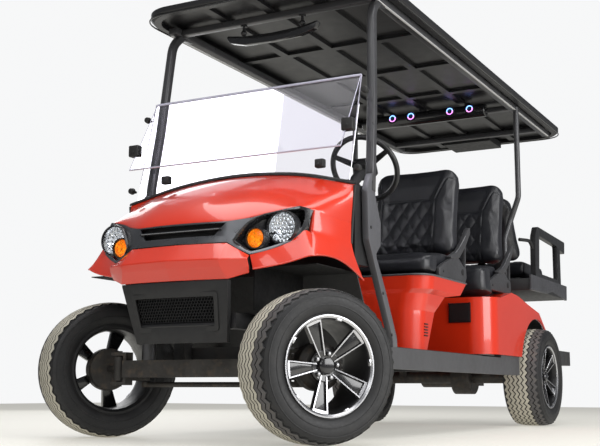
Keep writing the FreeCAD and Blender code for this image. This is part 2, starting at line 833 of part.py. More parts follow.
# chassis: two long rails that rise over the rear axle, with horns at the front and cross members
railIn = "(railX - railWidth / 2)"
railOut = "(railX + railWidth / 2)"
springIn = "(springX - springWidth / 2)"
rails = []
for side in (-1, 1):
    name = sideName(side)
    railSpan = sided(side, railIn, railOut)
    low = ("railBottom", "railTop")
    high = ("rearRailBottom", "rearRailTop")
    rise = ("railBottom", "rearRailTop")
    rails.append(block("rail" + name, railSpan, ("railStart", "railStep"), low))
    rails.append(block("railRise" + name, railSpan, ("railStep - riseWidth", "railStep"), rise))
    rails.append(block("rearRail" + name, railSpan, ("railStep - riseWidth", "railEnd"), high))
    rails.append(block("frontRise" + name, railSpan, ("railStart", "railStart + riseWidth"), rise))
    rails.append(block("frontHorn" + name, railSpan, ("hornStart", "railStart + riseWidth"), high))
    # the plate over each front spring unit, and the two hangers of each leaf spring
    rails.append(block("springPlate" + name, sided(side, railIn, "(springX + coilRadius)"),
                       ("-coilRadius", "coilRadius"), ("rearRailTop", "rearRailTop + leafThick")))
    for end, way in (("Front", -1), ("Rear", 1)):
        hanger = f"(wheelbase + {way} * (leafReach - coilRadius))"
        rails.append(block("hanger" + end + name, sided(side, railOut, springIn),
                           (f"{hanger} - coilRadius", f"{hanger} + coilRadius"),
                           ("rearRailBottom - 2 * leafThick - coilRadius", "rearRailTop")))
    for index in range(2):
        post = f"(trayPostY + {index} * (railEnd - trayPostY - crossWidth))"
        rails.append(block(f"trayPost{index}" + name, railSpan, (post, f"{post} + crossWidth"),
                           ("rearRailTop", "trayFloor - trayFloorThick")))
crossRails = (("first", "hornStart + 40", "rearRailBottom", "rearRailTop"),
              ("second", "railStart + riseWidth", "railBottom", "railTop"),
              ("third", "thirdCross", "railBottom", "railTop"),
              ("fourth", "railStep - riseWidth", "railBottom", "railTop"),
              ("fifth", "railEnd - crossWidth", "rearRailBottom", "rearRailTop"))
for name, near, low, high in crossRails:
    rails.append(block(name + "Cross", ("-railX", "railX"), (near, f"{near} + crossWidth"), (low, high)))
for name, near in (("front", "frontOutrigger"), ("rear", "rearOutrigger")):
    rails.append(block(name + "Outrigger", ("-sillHalf + sillWidth", "sillHalf - sillWidth"),
                       (near, f"{near} + crossWidth"), ("railTop - outriggerTall", "railTop")))
node("chassis_rails", fuse("chassisRails", rails))

# floor: a flat board and a toe board that leans up to the dash
node("floor_board", plate("floorBoard", "YZ_Plane", [
    ("floorFront", "railTop + seatGap"),
    ("floorEnd", "railTop + seatGap"),
    ("floorEnd", "floorTop"),
    ("floorFront + 10", "floorTop"),
    ("toeTopY + 8", "toeTop"),
    ("toeTopY", "toeTop"),
    ("floorFront - 4", "floorTop - 2"),
], "-floorHalf", "floorHalf"))

sill = plate("sillLeft", "YZ_Plane", [
    ("sillStart", "sillBottom"),
    ("sillEnd", "sillBottom"),
    ("sillEnd", "sillTop + sillStepUp"),
    ("sillStep", "sillTop + sillStepUp"),
    ("sillStep", "sillTop"),
    ("sillStart", "sillTop"),
], "sillHalf - sillWidth", "sillHalf")
node("sills", group("sills", [sill, mirror(sill)]))

node("battery_pack", block("batteryPack", ("-batteryHalf", "batteryHalf"),
                           ("batteryFront", "batteryFront + batteryLength"),
                           ("railTop + seatGap", "railTop + seatGap + batteryTall")))


# front body: thin moulded panels, each one drawn by the lines that it passes through
def across(half):
    # a smooth line from the cart's right side through its middle to its left side
    right = [vector(-x, y, z) for x, y, z in half[::-1] if x]
    curve = Part.BSplineCurve()
    curve.interpolate(right + [vector(*spot) for spot in half])
    return curve.toShape()


def along(spots):
    # a smooth line through the spots
    curve = Part.BSplineCurve()
    curve.interpolate([vector(*spot) for spot in spots])
    return curve.toShape()


def skin(lines, back):
    # a closed shell between the lines and the same lines moved back by the wall
    moved = [line.copy() for line in lines]
    for line in moved:
        line.translate(back)
    faces = []
    for rows in (lines, moved):
        for index in range(len(rows) - 1):
            faces.append(Part.makeRuledSurface(rows[index], rows[index + 1]))
    for index in (0, -1):
        faces.append(Part.makeRuledSurface(lines[index], moved[index]))
    for index in range(len(lines) - 1):
        for end in (0, 1):
            corners = [line.Vertexes[end].Point for line in
                       (lines[index], lines[index + 1], moved[index + 1], moved[index])]
            sides = [Part.makeLine(corners[place], corners[(place + 1) % 4]) for place in range(4)]
            faces.append(Part.makeRuledSurface(sides[0], sides[2]))
    return solidOf(faces)


def facets(rows, back):
    # a closed faceted shell through rows of spots, with the same rows moved back by the wall
    moved = [[spot + back for spot in row] for row in rows]
    faces = []
    for grid in (rows, moved):
        for upper, lower in zip(grid, grid[1:]):
            for place in range(len(upper) - 1):
                faces.append(Part.makeRuledSurface(Part.makeLine(upper[place], upper[place + 1]),
                                                   Part.makeLine(lower[place], lower[place + 1])))
    rims = []
    for index in (0, -1):
        rims += [(rows[index][place:place + 2], moved[index][place:place + 2]) for place in range(len(rows[0]) - 1)]
    for end in (0, -1):
        for index in range(len(rows) - 1):
            rims.append(((rows[index][end], rows[index + 1][end]), (moved[index][end], moved[index + 1][end])))
    for first, second in rims:
        faces.append(Part.makeRuledSurface(Part.makeLine(*first), Part.makeLine(*second)))
    return solidOf(faces)


def solidOf(faces):
    shell = Part.makeShell(faces)
    shell.sewShape()
    solid = Part.makeSolid(shell)
    if solid.Volume < 0:
        solid.reverse()
    return solid


def widened(half):
    # a row of spots from the cart's right side to its left
    return [vector(-x, y, z) for x, y, z in half[::-1] if x] + [vector(*spot) for spot in half]


def flip(shape):
    return shape.mirror(vector(), vector(1, 0, 0))


def prism(corners, near, far):
    # a hole or lens outline in (x, z), carried along y
    spots = [vector(x, near, z) for x, z in corners]
    return Part.Face(Part.makePolygon(spots + spots[:1])).extrude(vector(0, far - near, 0))


wall = value("panelWall")
footY = value("footCornerY")
slope = value("paneSlope")
footZ = value("footCornerZ")
centreZ = value("footCentreZ")
centreY = footY + slope * (centreZ - footZ)
frontY = value("hoodFrontY")
frontZ = value("hoodFrontZ")
sideX = value("sideHalf")
flareX = value("flareHalf")
crease = [(0, frontY, frontZ), (217, frontY + 15, frontZ - 2), (349, frontY + 100, frontZ + 35),
          (463, frontY + 149, frontZ + 62), (505, 10, frontZ + 47)]
hoodLines = [
    across(crease + [(sideX - 22, 120, frontZ + 32), (sideX, footY, frontZ + 22)]),
    across([(0, frontY + 55, frontZ + 70), (217, frontY + 68, frontZ + 64), (349, frontY + 130, frontZ + 70),
            (463, frontY + 190, frontZ + 76), (510, 44, frontZ + 70), (sideX - 18, 140, frontZ + 66),
            (sideX + 2, footY, frontZ + 62)]),
    across([(0, frontY + 170, frontZ + 150), (217, frontY + 180, frontZ + 141), (349, frontY + 225, frontZ + 130),
            (463, frontY + 268, frontZ + 122), (515, 112, frontZ + 116), (sideX - 8, 170, frontZ + 112),
            (sideX + 7, footY, frontZ + 110)]),
    across([(0, frontY + 310, frontZ + 223), (217, frontY + 318, frontZ + 210), (349, frontY + 335, frontZ + 190),
            (463, frontY + 360, frontZ + 165), (520, 182, frontZ + 152), (sideX, 205, frontZ + 144),
            (sideX + 10, footY, frontZ + 140)]),
    across([(0, centreY, centreZ), (217, centreY - 3, centreZ - 13), (349, centreY - 9, centreZ - 33),
            (463, footY + 8, footZ + 28), (520, footY + 4, footZ + 14), (sideX, footY + 1, footZ + 4),
            (value("footHalf"), footY, footZ)]),
]
hood = skin(hoodLines, vector(0, wall * 0.86, -wall * 0.5))
sideLines = [
    along([(502, 2, frontZ + 50), (sideX - 22, 120, frontZ + 35), (sideX, footY, frontZ + 24)]),
    along([(500, -8, 809), (sideX - 20, 110, 800), (sideX, footY - 9, 795)]),
    along([(545, -92, 714), (flareX - 4, 80, 718), (flareX + 2, 298, 652)]),
]
sidePanel = skin(sideLines, vector(-wall, 0.5, -0.5))
wingRows = [
    [vector(322, -184, 717), vector(391, -133, 740), vector(456, -88, 772), vector(492, -55, 832), vector(500, -8, 809)],
    [vector(331, -176, 662), vector(420, -142, 676), vector(490, -116, 696), vector(530, -98, 712),
     vector(545, -92, 714)],
]
wing = facets(wingRows, vector(0, wall, 0))
hoodShell = hood.fuse([sidePanel, flip(sidePanel)])
node("cowl", feature("cowl", Part.makeCompound([hoodShell, wing, flip(wing)])))

# gunmetal band: a frame round the grille slot and both pairs of lamps
bandTall = value("bandTall")
bandLow = [(0, frontY - 25, frontZ - bandTall), (227, frontY - 12, frontZ - bandTall - 2), (320, -185, 718),
           (391, -134, 741), (456, -89, 773), (494, -50, 833)]
bandWall = vector(0, value("bandWall"), 0)
bandRows = [widened([(0, frontY, frontZ - 1), (217, frontY + 15, frontZ - 3), (300, frontY + 60, frontZ + 14),
                     (349, frontY + 99, frontZ + 33), (463, frontY + 148, frontZ + 60), (500, 0, frontZ + 44)]),
            widened(bandLow)]
band = facets(bandRows, bandWall)
frameIn = value("lampFrame")
lampOpening = [(246 + frameIn, 776), (300, frontZ - 14), (352, frontZ + 22), (459, frontZ + 49),
               (486 - frameIn / 2, frontZ + 34), (483, 838), (449, 783), (388, 753), (322, 730)]
slotOpening = [(-205, frontZ - 8), (205, frontZ - 8), (165, frontZ - 60), (-165, frontZ - 60)]
mirrored = [(-x, z) for x, z in lampOpening]
holes = [prism(corners, -300, 100) for corners in (lampOpening, mirrored, slotOpening)]
slatRow = [vector(-193, frontY - 4, frontZ - 28), vector(193, frontY - 4, frontZ - 28)]
slat = facets([slatRow, [spot - vector(0, 0, 9) for spot in slatRow]], vector(0, 22, 0))
band = band.cut(Part.makeCompound(holes)).fuse(slat).cut(hoodShell).cut(wing).cut(flip(wing))
band = max(band.Solids, key=lambda solid: solid.Volume)
node("nose_band", feature("noseBand", band))

# lamp housings: a tub behind each opening that carries the round head lamp and the amber lamp
lampDepth = value("lampDepth")
housings = []
tub = facets([[vector(252, -172, 860), vector(352, -75, 900), vector(486, -20, 908)],
              [vector(252, -172, 716), vector(352, -125, 716), vector(486, -20, 770)]], vector(0, 40, 0))
for name in ("headlamp", "amber"):
    tub = tub.fuse(Part.makeCylinder(value(name + "Radius"), lampDepth,
                                     vector(value(name + "X"), value(name + "Y"), value(name + "Z")), vector(0, 1, 0)))
tub = tub.removeSplitter().cut(band.fuse([wing, hood]))
tub = max(tub.Solids, key=lambda solid: solid.Volume)
node("headlamps", feature("headlamps", Part.makeCompound([tub, flip(tub)])))

# bumper: an upper facet, an upright one and a turned-under one, with a block at each end
bumperX = value("bumperHalf")
blockX = value("blockHalf")
crestY = frontY - 25 - value("crestReach")
crestZ = value("crestZ")
chinZ = value("chinZ")
bumperRows = [
    widened([(0, frontY - 26, frontZ - bandTall - 1), (bumperX - 1, frontY - 13, frontZ - bandTall - 3),
             (blockX - 10, -186, 716)]),
    widened([(0, crestY, crestZ), (bumperX + 2, crestY + 24, crestZ - 2), (blockX, -217, crestZ)]),
    widened([(0, crestY + 10, value("creaseZ")), (bumperX + 3, crestY + 33, value("creaseZ")),
             (blockX, -205, value("creaseZ"))]),
    widened([(0, crestY + 40, chinZ), (value("fasciaHalf"), crestY + 58, chinZ), (blockX - 6, -191, chinZ + 24)]),
]
bumper = facets(bumperRows, vector(0, wall + 2, 0)).cut(wing.fuse(flip(wing)))
node("bumper", feature("bumper", max(bumper.Solids, key=lambda solid: solid.Volume)))

# fascia: a leaning plate under the bumper with a sunk grille
fasciaLowY = value("fasciaLowY")
fasciaHalf = value("fasciaHalf")
lowHalf = value("fasciaLowHalf")
fasciaRows = [
    widened([(0, crestY + 41, chinZ - 0.3), (fasciaHalf, crestY + 59, chinZ - 0.3)]),
    widened([(0, fasciaLowY - 18, value("fasciaLow")), (lowHalf, fasciaLowY, value("fasciaLow"))]),
]
fascia = facets(fasciaRows, vector(0, value("fasciaThick"), 0))
inset = value("grilleInset")
sunk = Part.makeBox(2 * (lowHalf - inset / 2), 400, chinZ - value("fasciaLow") - 2 * inset,
                    vector(-lowHalf + inset / 2, -400, value("fasciaLow") + inset))
keepBack = facets([[spot + vector(0, value("grilleDepth"), 0) for spot in row] for row in fasciaRows],
                  vector(0, value("fasciaThick"), 0))
fascia = fascia.cut(sunk).fuse(keepBack.common(fascia))
node("front_fascia", feature("frontFascia", fascia.removeSplitter()))

# inner fenders: a shelf and an inner wall over each front wheel, and an arch over each rear one
liners = []
linerWall = value("linerWall")
inner = value("linerInner")
outerX = value("floorHalf")
for side in (-1, 1):
    low = min(side * inner, side * outerX)
    shelf = Part.makeBox(outerX - inner, value("toeTopY + shelfReach") + 0.8, linerWall,
                         vector(low, -value("shelfReach"), value("linerTop") - linerWall))
    wallX = side * (inner + linerWall / 2) - linerWall / 2
    upright = Part.makeBox(linerWall, value("toeTopY + linerReach") + 0.8, value("linerTop - linerLow"),
                           vector(wallX, -value("linerReach"), value("linerLow")))
    liners.append(shelf.fuse(upright).removeSplitter())
    rimOut = value("bodyArchRadius")
    rearLinerIn = value("rearLinerIn")
    low = min(side * (value("bodyHalf - podWall") - 0.5), side * rearLinerIn)
    centre = vector(low, value("wheelbase"), value("tyreRadius + archRise"))
    span = value("bodyHalf - podWall") - 0.5 - rearLinerIn
    arch = Part.makeCylinder(rimOut, span, centre, vector(1, 0, 0)).cut(
        Part.makeCylinder(rimOut - linerWall, span, centre, vector(1, 0, 0)))
    keep = Part.makeBox(span, 2 * rimOut, rimOut, vector(low, value("wheelbase") - rimOut, value("sillTop") + 16))
    liners.append(arch.common(keep))
node("wheel_liners", feature("wheelLiners", Part.makeCompound(liners)))

# dash, column, pedals
node("dash", plate("dash", "YZ_Plane", [
    ("dashFront", "toeTop + seatGap"),
    ("toeTopY + 8", "toeTop + seatGap"),
    ("toeTopY + 8", "dashLow"),
    ("dashRear - 30", "dashLow"),
    ("dashRear", "dashLow + 60"),
    ("dashRear", "dashTop - 50"),
    ("dashRear - 60", "dashTop"),
    ("dashFront", "dashTop - 10"),
], "-dashHalf", "dashHalf"))

columnWay = vector(0, -math.sin(math.radians(value("columnTilt"))), -math.cos(math.radians(value("columnTilt"))))
hub = vector(value("columnX"), value("wheelHubY"), value("wheelHubZ"))
# the column comes out of the dash's rear face
column = Part.makeCylinder(value("columnRadius"), value("wheelHubY"),
                           hub + columnWay * value("wheelDish + seatGap"), columnWay)
column = column.cut(Part.makeBox(400, 2 * value("dashRear"), 2 * value("dashTop"),
                                 vector(value("columnX") - 200, -value("dashRear"), -value("dashTop") / 2)))
node("steering_column", feature("steeringColumn", column))

grip = Part.makeTorus(value("wheelRadius"), value("wheelGrip"), hub, columnWay * -1)
hubDisc = Part.makeCylinder(value("hubRadius"), value("wheelDish"), hub, columnWay)
frame = FreeCAD.Rotation(vector(0, 0, 1), columnWay * -1)
spokes = []
for angle in (90, 210, 330):
    arm = Part.makeBox(value("wheelRadius") - 25, 30, 10, vector(25, -15, -12))
    arm.Placement = FreeCAD.Placement(hub, frame.multiply(FreeCAD.Rotation(vector(0, 0, 1), angle)))
    spokes.append(arm)
card = Part.makeBox(value("cardWide"), value("cardTall"), value("cardDeep") + 2,
                    vector(-value("cardWide") / 2, -value("cardTall") / 2, -2))
card.Placement = FreeCAD.Placement(hub, frame)
node("steering_wheel", feature("steeringWheel", grip.fuse([hubDisc, card] + spokes).removeSplitter()))

# pedals: pads on stems that come out of the toe board
toeFace = [vector(0, value("toeTopY") + 8, value("toeTop")), vector(0, value("floorFront") + 10, value("floorTop")),
           vector(0, 0, value("floorTop")), vector(0, 0, value("toeTop"))]
toeSpace = Part.Face(Part.makePolygon(toeFace + toeFace[:1])).extrude(vector(2 * outerX, 0, 0))
pedals = []
for x, width in ((value("throttleX"), value("throttleWidth")), (value("brakeX"), value("brakeWidth"))):
    pad = Part.makeBox(width, 10, value("pedalTall"), vector(x, value("pedalY"), value("pedalZ")))
    stem = Part.makeBox(14, 110, 14, vector(x + width / 2 - 7, value("pedalY") - 110, value("pedalZ") + 50)).cut(toeSpace)
    pedals.append(pad.fuse(stem))
node("pedals", feature("pedals", Part.makeCompound(pedals)))


# front seat pod: a thin shell, open below, that flares into a wing under the cushion
def podShell(inset):
    bottom = value("floorTop") + value("seatGap")
    top = value("podTop")
    levels = (
        ("podHalf", "podFront", "podRear", bottom - (inset and 5)),
        ("podHalf + 6", "podFront", "podRear + 90", bottom + 190),
        ("podHalf + 22", "podFront + 4", "podRear + 195", top - 87),
        ("podTopHalf - 8", "podTopFront", "podTopRear - 72", top - 66),
        ("podTopHalf", "podTopFront", "podTopRear", top - inset),
    )
    wires = []
    for index, (wide, near, far, level) in enumerate(levels):
        # the wing's underside leans out, so its inner face is above it
        level += inset if index in (2, 3) else 0
        x = value(wide) - inset
        end = value(far) - inset * (2.5 if index in (1, 2) else 1)
        wires.append(softBox((-x, x), (value(near) + inset, end), level,
                             value("podCorner") - inset, value("podRearCorner") - inset))
    return Part.makeLoft(wires, True, True)


node("front_seat_pod", feature("frontSeatPod", podShell(0).cut(podShell(value("podWall")))))


# rear body: a shell with round front corners whose top falls away behind the wheel arches
def sideFace(points, x):
    # a closed outline of (y, z) places on a plane across the cart
    spots = [vector(x, y, z) for y, z in points]
    return Part.Face(Part.makePolygon(spots + spots[:1]))


bodyFront = value("bodyFront")
bodyTop = value("bodyTop")
axleY = value("wheelbase")
seatRise = (bodyFront + 393, bodyTop + 53)
seatFall = (bodyFront + 520, bodyTop + 44)
bodyTopLine = [(bodyFront - 50, bodyTop), (bodyFront + 180, bodyTop + 8), seatRise, seatFall,
               (axleY - 163, bodyTop + 7), (axleY + 69, bodyTop - 28), (axleY + 216, bodyTop - 128)]


def bodyShell(inset):
    # the level plan with its two round corners, under the falling top line
    half = value("bodyHalf") - inset
    near = bodyFront + inset
    bottom = value("sillTop + sillStepUp + seatGap")
    plan = Part.Face(softBox((-half, half), (near, axleY + 1205), bottom - (inset and 5),
                             value("bodyCorner") - inset))
    top = [(y, z - inset) for y, z in bodyTopLine]
    if inset:
        top[-1] = (top[-1][0] + 100, top[-1][1])
    edge = [(bodyFront - 50, 300)] + top + [(top[-1][0], 300)]
    reach = half + 100
    return plan.extrude(vector(0, 0, 600)).common(sideFace(edge, -reach).extrude(vector(2 * reach, 0, 0)))


rearBody = bodyShell(0).cut(bodyShell(value("podWall")))
bodyReach = value("bodyHalf") + 100
archCut = Part.makeCylinder(value("bodyArchRadius"), 2 * bodyReach, vector(-bodyReach, axleY,
                            value("tyreRadius + archRise")), vector(1, 0, 0))
behindArch = Part.makeBox(2 * bodyReach, 1000, 200, vector(-bodyReach, axleY, value("sillTop")))
rearBody = rearBody.cut(archCut).cut(behindArch)
portX, portZ = value("portX"), value("portZ")
wide, tall = value("portHalfWide"), value("portHalfTall")
portHole = Part.makeBox(2 * wide + 0.6, 60, 2 * tall + 0.6, vector(portX - wide - 0.3, bodyFront - 20, portZ - tall - 0.3))
rearBody = rearBody.cut(portHole)
node("rear_body", feature("rearBody", max(rearBody.Solids, key=lambda solid: solid.Volume)))

# charge port: a cup with a lip in the body's front wall, and its lid on a pin along the top edge
lip = value("portLip")
portWall = value("portWall")
lidBack = bodyFront - lip - value("lidGap")
pinY = lidBack - value("lidBarrelRadius") - 0.5
pinZ = portZ + tall + value("lidBarrelRadius") + 1
cup = Part.makeBox(2 * wide, value("portDepth"), 2 * tall, vector(portX - wide, bodyFront - lip, portZ - tall))
cup = cup.fuse(Part.makeBox(2 * (wide + lip), lip, 2 * (tall + lip), vector(portX - wide - lip, bodyFront - lip,
                                                                           portZ - tall - lip)))
cup = cup.cut(Part.makeBox(2 * (wide - portWall), value("portDepth") - portWall, 2 * (tall - portWall),
                           vector(portX - wide + portWall, bodyFront - lip, portZ - tall + portWall)))
for side in (-1, 1):
    earX = portX + side * (wide + 3) - 2.5
    cup = cup.fuse(Part.makeBox(5, 10, 9, vector(earX, pinY - 4, pinZ - 4.5)))
    cup = cup.fuse(Part.makeBox(5, 10, 4.5, vector(earX, bodyFront - lip - 8, pinZ - 4.5)))
cup = cup.fuse(Part.makeCylinder(value("lidPinRadius"), 2 * wide + 8, vector(portX - wide - 4, pinY, pinZ),
                                 vector(1, 0, 0)))
node("charge_port", feature("chargePort", cup.removeSplitter()))
lidThick = value("lidThick")
lid = Part.makeBox(2 * wide, lidThick, pinZ - portZ + tall, vector(portX - wide, lidBack - lidThick, portZ - tall))
lid = lid.fuse(Part.makeCylinder(value("lidBarrelRadius"), 2 * wide, vector(portX - wide, pinY, pinZ), vector(1, 0, 0)))
lid = lid.cut(Part.makeCylinder(value("lidPinRadius + spindleFit"), 2 * wide + 2, vector(portX - wide - 1, pinY, pinZ),
                                vector(1, 0, 0)))
node("charge_port_lid", feature("chargePortLid", lid.removeSplitter()))

# seat bases and frames: a black base board with two straps that hold each back up
pitch = value("rowPitch")
rise = value("rowRise")
frontSeatZ = value("podTop + trimThick + seatGap") + value("seatGap")
backLow = (value("backLowY"), value("backLow"))
backHigh = (value("backHighY"), value("backHigh"))
backThick = value("backThick")
frameThick = value("frameThick")


def behindBack(share, row):
    # a place on a strap's middle line, behind the back by half the strap and a small gap
    low = vector(0, backLow[0] + backThick, backLow[1] + 10)
    way = vector(0, backHigh[0] + 0.8 * backThick, backHigh[1]) - low
    normal = vector(0, way.z, -way.y).normalize()
    spot = low + way * share + normal * (frameThick / 2 + value("seatGap"))
    return spot.y + row * pitch, spot.z + row * rise


podTop = value("podTop")
seatGap = value("seatGap")
x = value("podTopHalf") - 6
baseFace = Part.Face(softBox((-x, x), (value("podTopFront") + 6, value("podTopRear") - 6), podTop + seatGap,
                             value("podCorner") - 6))
frontBase = baseFace.extrude(vector(0, 0, value("trimThick")))
seatTop = podTop + seatGap + value("trimThick")
middleSeatZ = frontSeatZ + rise
fillerFront = value("cushionFront + noseDepth") + pitch + 4
fillerLow = bodyTop + 8 * (fillerFront - bodyFront + 50) / 230 + seatGap + 0.5
baseLine = [(fillerFront, middleSeatZ - seatGap), (fillerFront, fillerLow)]
baseLine += [(bodyFront + 180, bodyTop + 8 + seatGap + 0.5), (seatRise[0], seatRise[1] + seatGap),
             (seatFall[0], seatFall[1] + seatGap), (seatFall[0], middleSeatZ - seatGap)]
middleBase = sideFace(baseLine, -value("seatHalf") + 20).extrude(vector(2 * value("seatHalf") - 40, 0, 0))
bases = [frontBase, middleBase]
frameX = value("frameX")
frameHalf = value("frameWidth") / 2
for row, low in ((0, seatTop), (1, middleSeatZ - seatGap - rise)):
    for side in (-1, 1):
        strapFoot = value("podTopRear") - 48 + row * pitch
        path = [(strapFoot, low - 0.1 + row * rise), (strapFoot + 8, seatTop + 75.7 + row * rise),
                behindBack(0.03, row), behindBack(0.6, row)]
        bases[row] = bases[row].fuse(stripe(path, frameThick, (side * frameX - frameHalf, side * frameX + frameHalf)))
node("front_seat_frame", feature("frontSeatFrame", bases[0].removeSplitter()))
node("middle_seat_frame", feature("middleSeatFrame", bases[1].removeSplitter()))


# cushions: each one a closed solid, the front two rows face forward and the rear one backward
def benchCushion(name, y, z, noseHalf, noseLow, noseTop):
    # a cushion whose front part is wider than the rest and whose top rises to the rear
    x = value("seatHalf")
    noseEnd = y[0] + value("noseDepth")
    climb = (z[1] - noseTop) / (y[1] - y[0])
    start = y[0] + 30
    slab = softWire([vector(-x, start, z[0]), vector(-x, start, noseTop + 30 * climb), vector(-x, y[1], z[1]),
                     vector(-x, y[1], z[0])], [2, 2, 30, 10])
    slab = Part.Face(slab).extrude(vector(2 * x, 0, 0))
    plan = softBox((-x, x), (start - 1, y[1]), z[0], 2, 45)
    slab = slab.common(Part.Face(plan).extrude(vector(0, 0, z[1] - z[0])))
    nose = softWire([vector(-noseHalf, y[0], noseLow), vector(-noseHalf, y[0], noseTop),
                     vector(-noseHalf, noseEnd, noseTop + climb * value("noseDepth")),
                     vector(-noseHalf, noseEnd, noseLow)], [15, 30, 4, 4])
    nose = Part.Face(nose).extrude(vector(2 * noseHalf, 0, 0))
    plan = softBox((-noseHalf, noseHalf), (y[0], noseEnd), noseLow, value("noseRound"), 8)
    nose = nose.common(Part.Face(plan).extrude(vector(0, 0, z[1] - noseLow)))
    return node(name, feature(name, nose.fuse(slab).removeSplitter()))


def cushion(name, y, z):
    x = value("seatHalf - rearSeatIn")
    wires = [softBox((-x + 8, x - 8), (y[0] + 8, y[1] - 8), z[0], 40),
             softBox((-x, x), y, z[0] + 20, 45),
             softBox((-x, x), y, z[1] - 25, 45),
             softBox((-x + 20, x - 20), (y[0] + 20, y[1] - 10), z[1], 40)]
    return node(name, feature(name, Part.makeLoft(wires, True, True)))


def backrest(name, low, high, thick, half):
    # two bucket backs side by side
    # low and high are the (y, z) of the front face's bottom and top, thick runs away from the sitter
    corners = [vector(0, low[0], low[1]), vector(0, low[0] + thick, low[1] + 10),
               vector(0, high[0] + thick * 0.8, high[1]), vector(0, high[0], high[1] - 10)]
    if thick < 0:
        corners = corners[::-1]
    slab = Part.Face(softWire(corners, [value("backCorner")] * 4)).extrude(vector(half, 0, 0))
    ends = [spot.y for spot in corners]
    near = value("backPartHalf")
    shield = softWire([vector(near, min(ends) - 1, low[1] - 1), vector(half, min(ends) - 1, low[1] - 1),
                       vector(half, min(ends) - 1, high[1] + 1), vector(near, min(ends) - 1, high[1] + 1)],
                      [value("backLowRound")] * 2 + [value("backTopRound")] * 2)
    bucket = slab.common(Part.Face(shield).extrude(vector(0, max(ends) - min(ends) + 2, 0)))
    return node(name, feature(name, Part.makeCompound([bucket, flip(bucket)])))


seatY = (value("cushionFront"), value("cushionFront + cushionDepth"))
benchCushion("front_seat_cushion", seatY, (frontSeatZ, value("frontCushionTop")),
             value("podTopHalf - frontNoseIn"), frontSeatZ, value("frontNoseTop"))
benchCushion("middle_seat_cushion", (seatY[0] + pitch, seatY[1] + pitch), (middleSeatZ, value("middleCushionTop")),
             value("bodyHalf - middleNoseIn"), value("middleNoseLow"), value("middleNoseTop"))
cushion("rear_seat_cushion", (value("rearCushionFront"), value("rearCushionEnd")),
        (value("rearCushionZ"), value("rearCushionZ + rearCushionThick")))
seatHalf = value("seatHalf")
backrest("front_seat_back", backLow, backHigh, backThick, seatHalf)
backrest("middle_seat_back", (backLow[0] + pitch, backLow[1] + rise), (backHigh[0] + pitch, backHigh[1] + rise),
         backThick, seatHalf)
rearSeatHalf = value("seatHalf - rearSeatIn")
backrest("rear_seat_back", (value("rearBackLowY"), value("rearBackLow")),
         (value("rearBackHighY"), value("rearBackHigh")), -value("rearBackThick"), rearSeatHalf)

# hip restraints: flat blades that rise from a moulded foot at each end of the first two rows
restraints = []
restraintHalf = value("restraintThick") / 2
# places behind the cushion's front edge and above what the foot stands on
restraintLines = (
    [(170, 0), (551, 0), (570, 30), (565, 78), (520, 88), (455, 120), (355, 112), (215, 62), (170, 42)],
    [(335, 90), (455, 140), (545, 205), (641, 292)],
    [(560, 60), (567, 212)],
)
for base, low in ((0, seatTop + seatGap), (pitch, seatRise[1] + seatGap)):
    for side in (-1, 1):
        spread = (side * value("restraintX") - restraintHalf, side * value("restraintX") + restraintHalf)
        foot, blade, leg = [[(near + seatY[0] + base, up + low) for near, up in line] for line in restraintLines]
        foot = sideFace(foot, spread[0]).extrude(vector(2 * restraintHalf, 0, 0))
        blade = stripe(blade, value("bladeWidth"), spread)
        leg = stripe(leg, value("legWidth"), spread)
        restraints.append(foot.fuse([blade, leg]).removeSplitter())
node("hip_restraints", feature("hipRestraints", Part.makeCompound(restraints)))

# arm frames of the rear seat, with the tray under them and a tube to the back
trayTop = value("trayTop")
trayLow = value("trayLow")
trayFloor = value("trayFloor")
trayHalf = value("trayHalf")
trayFront = value("trayFront")
trayEnd = value("trayEnd")
armWidth = value("armWidth")
arms = []
for side in (-1, 1):
    x = side * value("armX") - armWidth / 2
    loop = [vector(x, axleY + 105, trayFloor - 5), vector(x, axleY + 725, trayFloor - 5),
            vector(x, axleY + 725, 1165), vector(x, axleY + 845, 1148), vector(x, axleY + 857, 1232),
            vector(x, axleY + 170, 1252), vector(x, axleY + 117, 1180)]
    frameFace = Part.Face(Part.makePolygon(loop + loop[:1]))
    hole = softWire([vector(x, axleY + 190, trayTop + 20), vector(x, axleY + 655, trayTop + 20),
                     vector(x, axleY + 655, 1180), vector(x, axleY + 215, 1195)], [20] * 4)
    arms.append(frameFace.extrude(vector(armWidth, 0, 0)).cut(Part.Face(hole).extrude(vector(armWidth, 0, 0))))
    edge = [(trayFront, trayTop - 10), (trayFront, trayLow + 10), (trayFront - 7, trayLow + 3),
            (axleY + 44, trayLow + 2), (axleY + 306, trayLow + 6), (axleY + 434, trayLow + 30),
            (axleY + 605, trayLow + 14), (trayEnd - 10, trayLow), (trayEnd, trayTop - 8)]
    wallX = side * (trayHalf - value("trayWall") / 2) - value("trayWall") / 2
    arms.append(sideFace(edge, wallX).extrude(vector(value("trayWall"), 0, 0)))
    tubeSpots = [vector(side * (rearSeatHalf + 17), axleY + 5, 1150),
                 vector(side * value("armX - 20"), axleY + 55, 1150),
                 vector(side * value("armX - 5"), axleY + 120, 1120)]
    for start, end in zip(tubeSpots, tubeSpots[1:]):
        arms.append(Part.makeCylinder(value("armTubeRadius"), (end - start).Length, start, end - start))
    arms.append(Part.makeSphere(value("armTubeRadius"), tubeSpots[1]))
arms.append(Part.makeBox(2 * trayHalf, trayEnd - trayFront - 20, value("trayFloorThick"),
                         vector(-trayHalf, trayFront + 10, trayFloor - value("trayFloorThick"))))
arms.append(Part.makeBox(2 * rearSeatHalf - 60, value("rearCushionDepth") - 35,
                         value("rearCushionZ") - seatGap - trayFloor,
                         vector(30 - rearSeatHalf, value("rearCushionFront") + 25, trayFloor)))
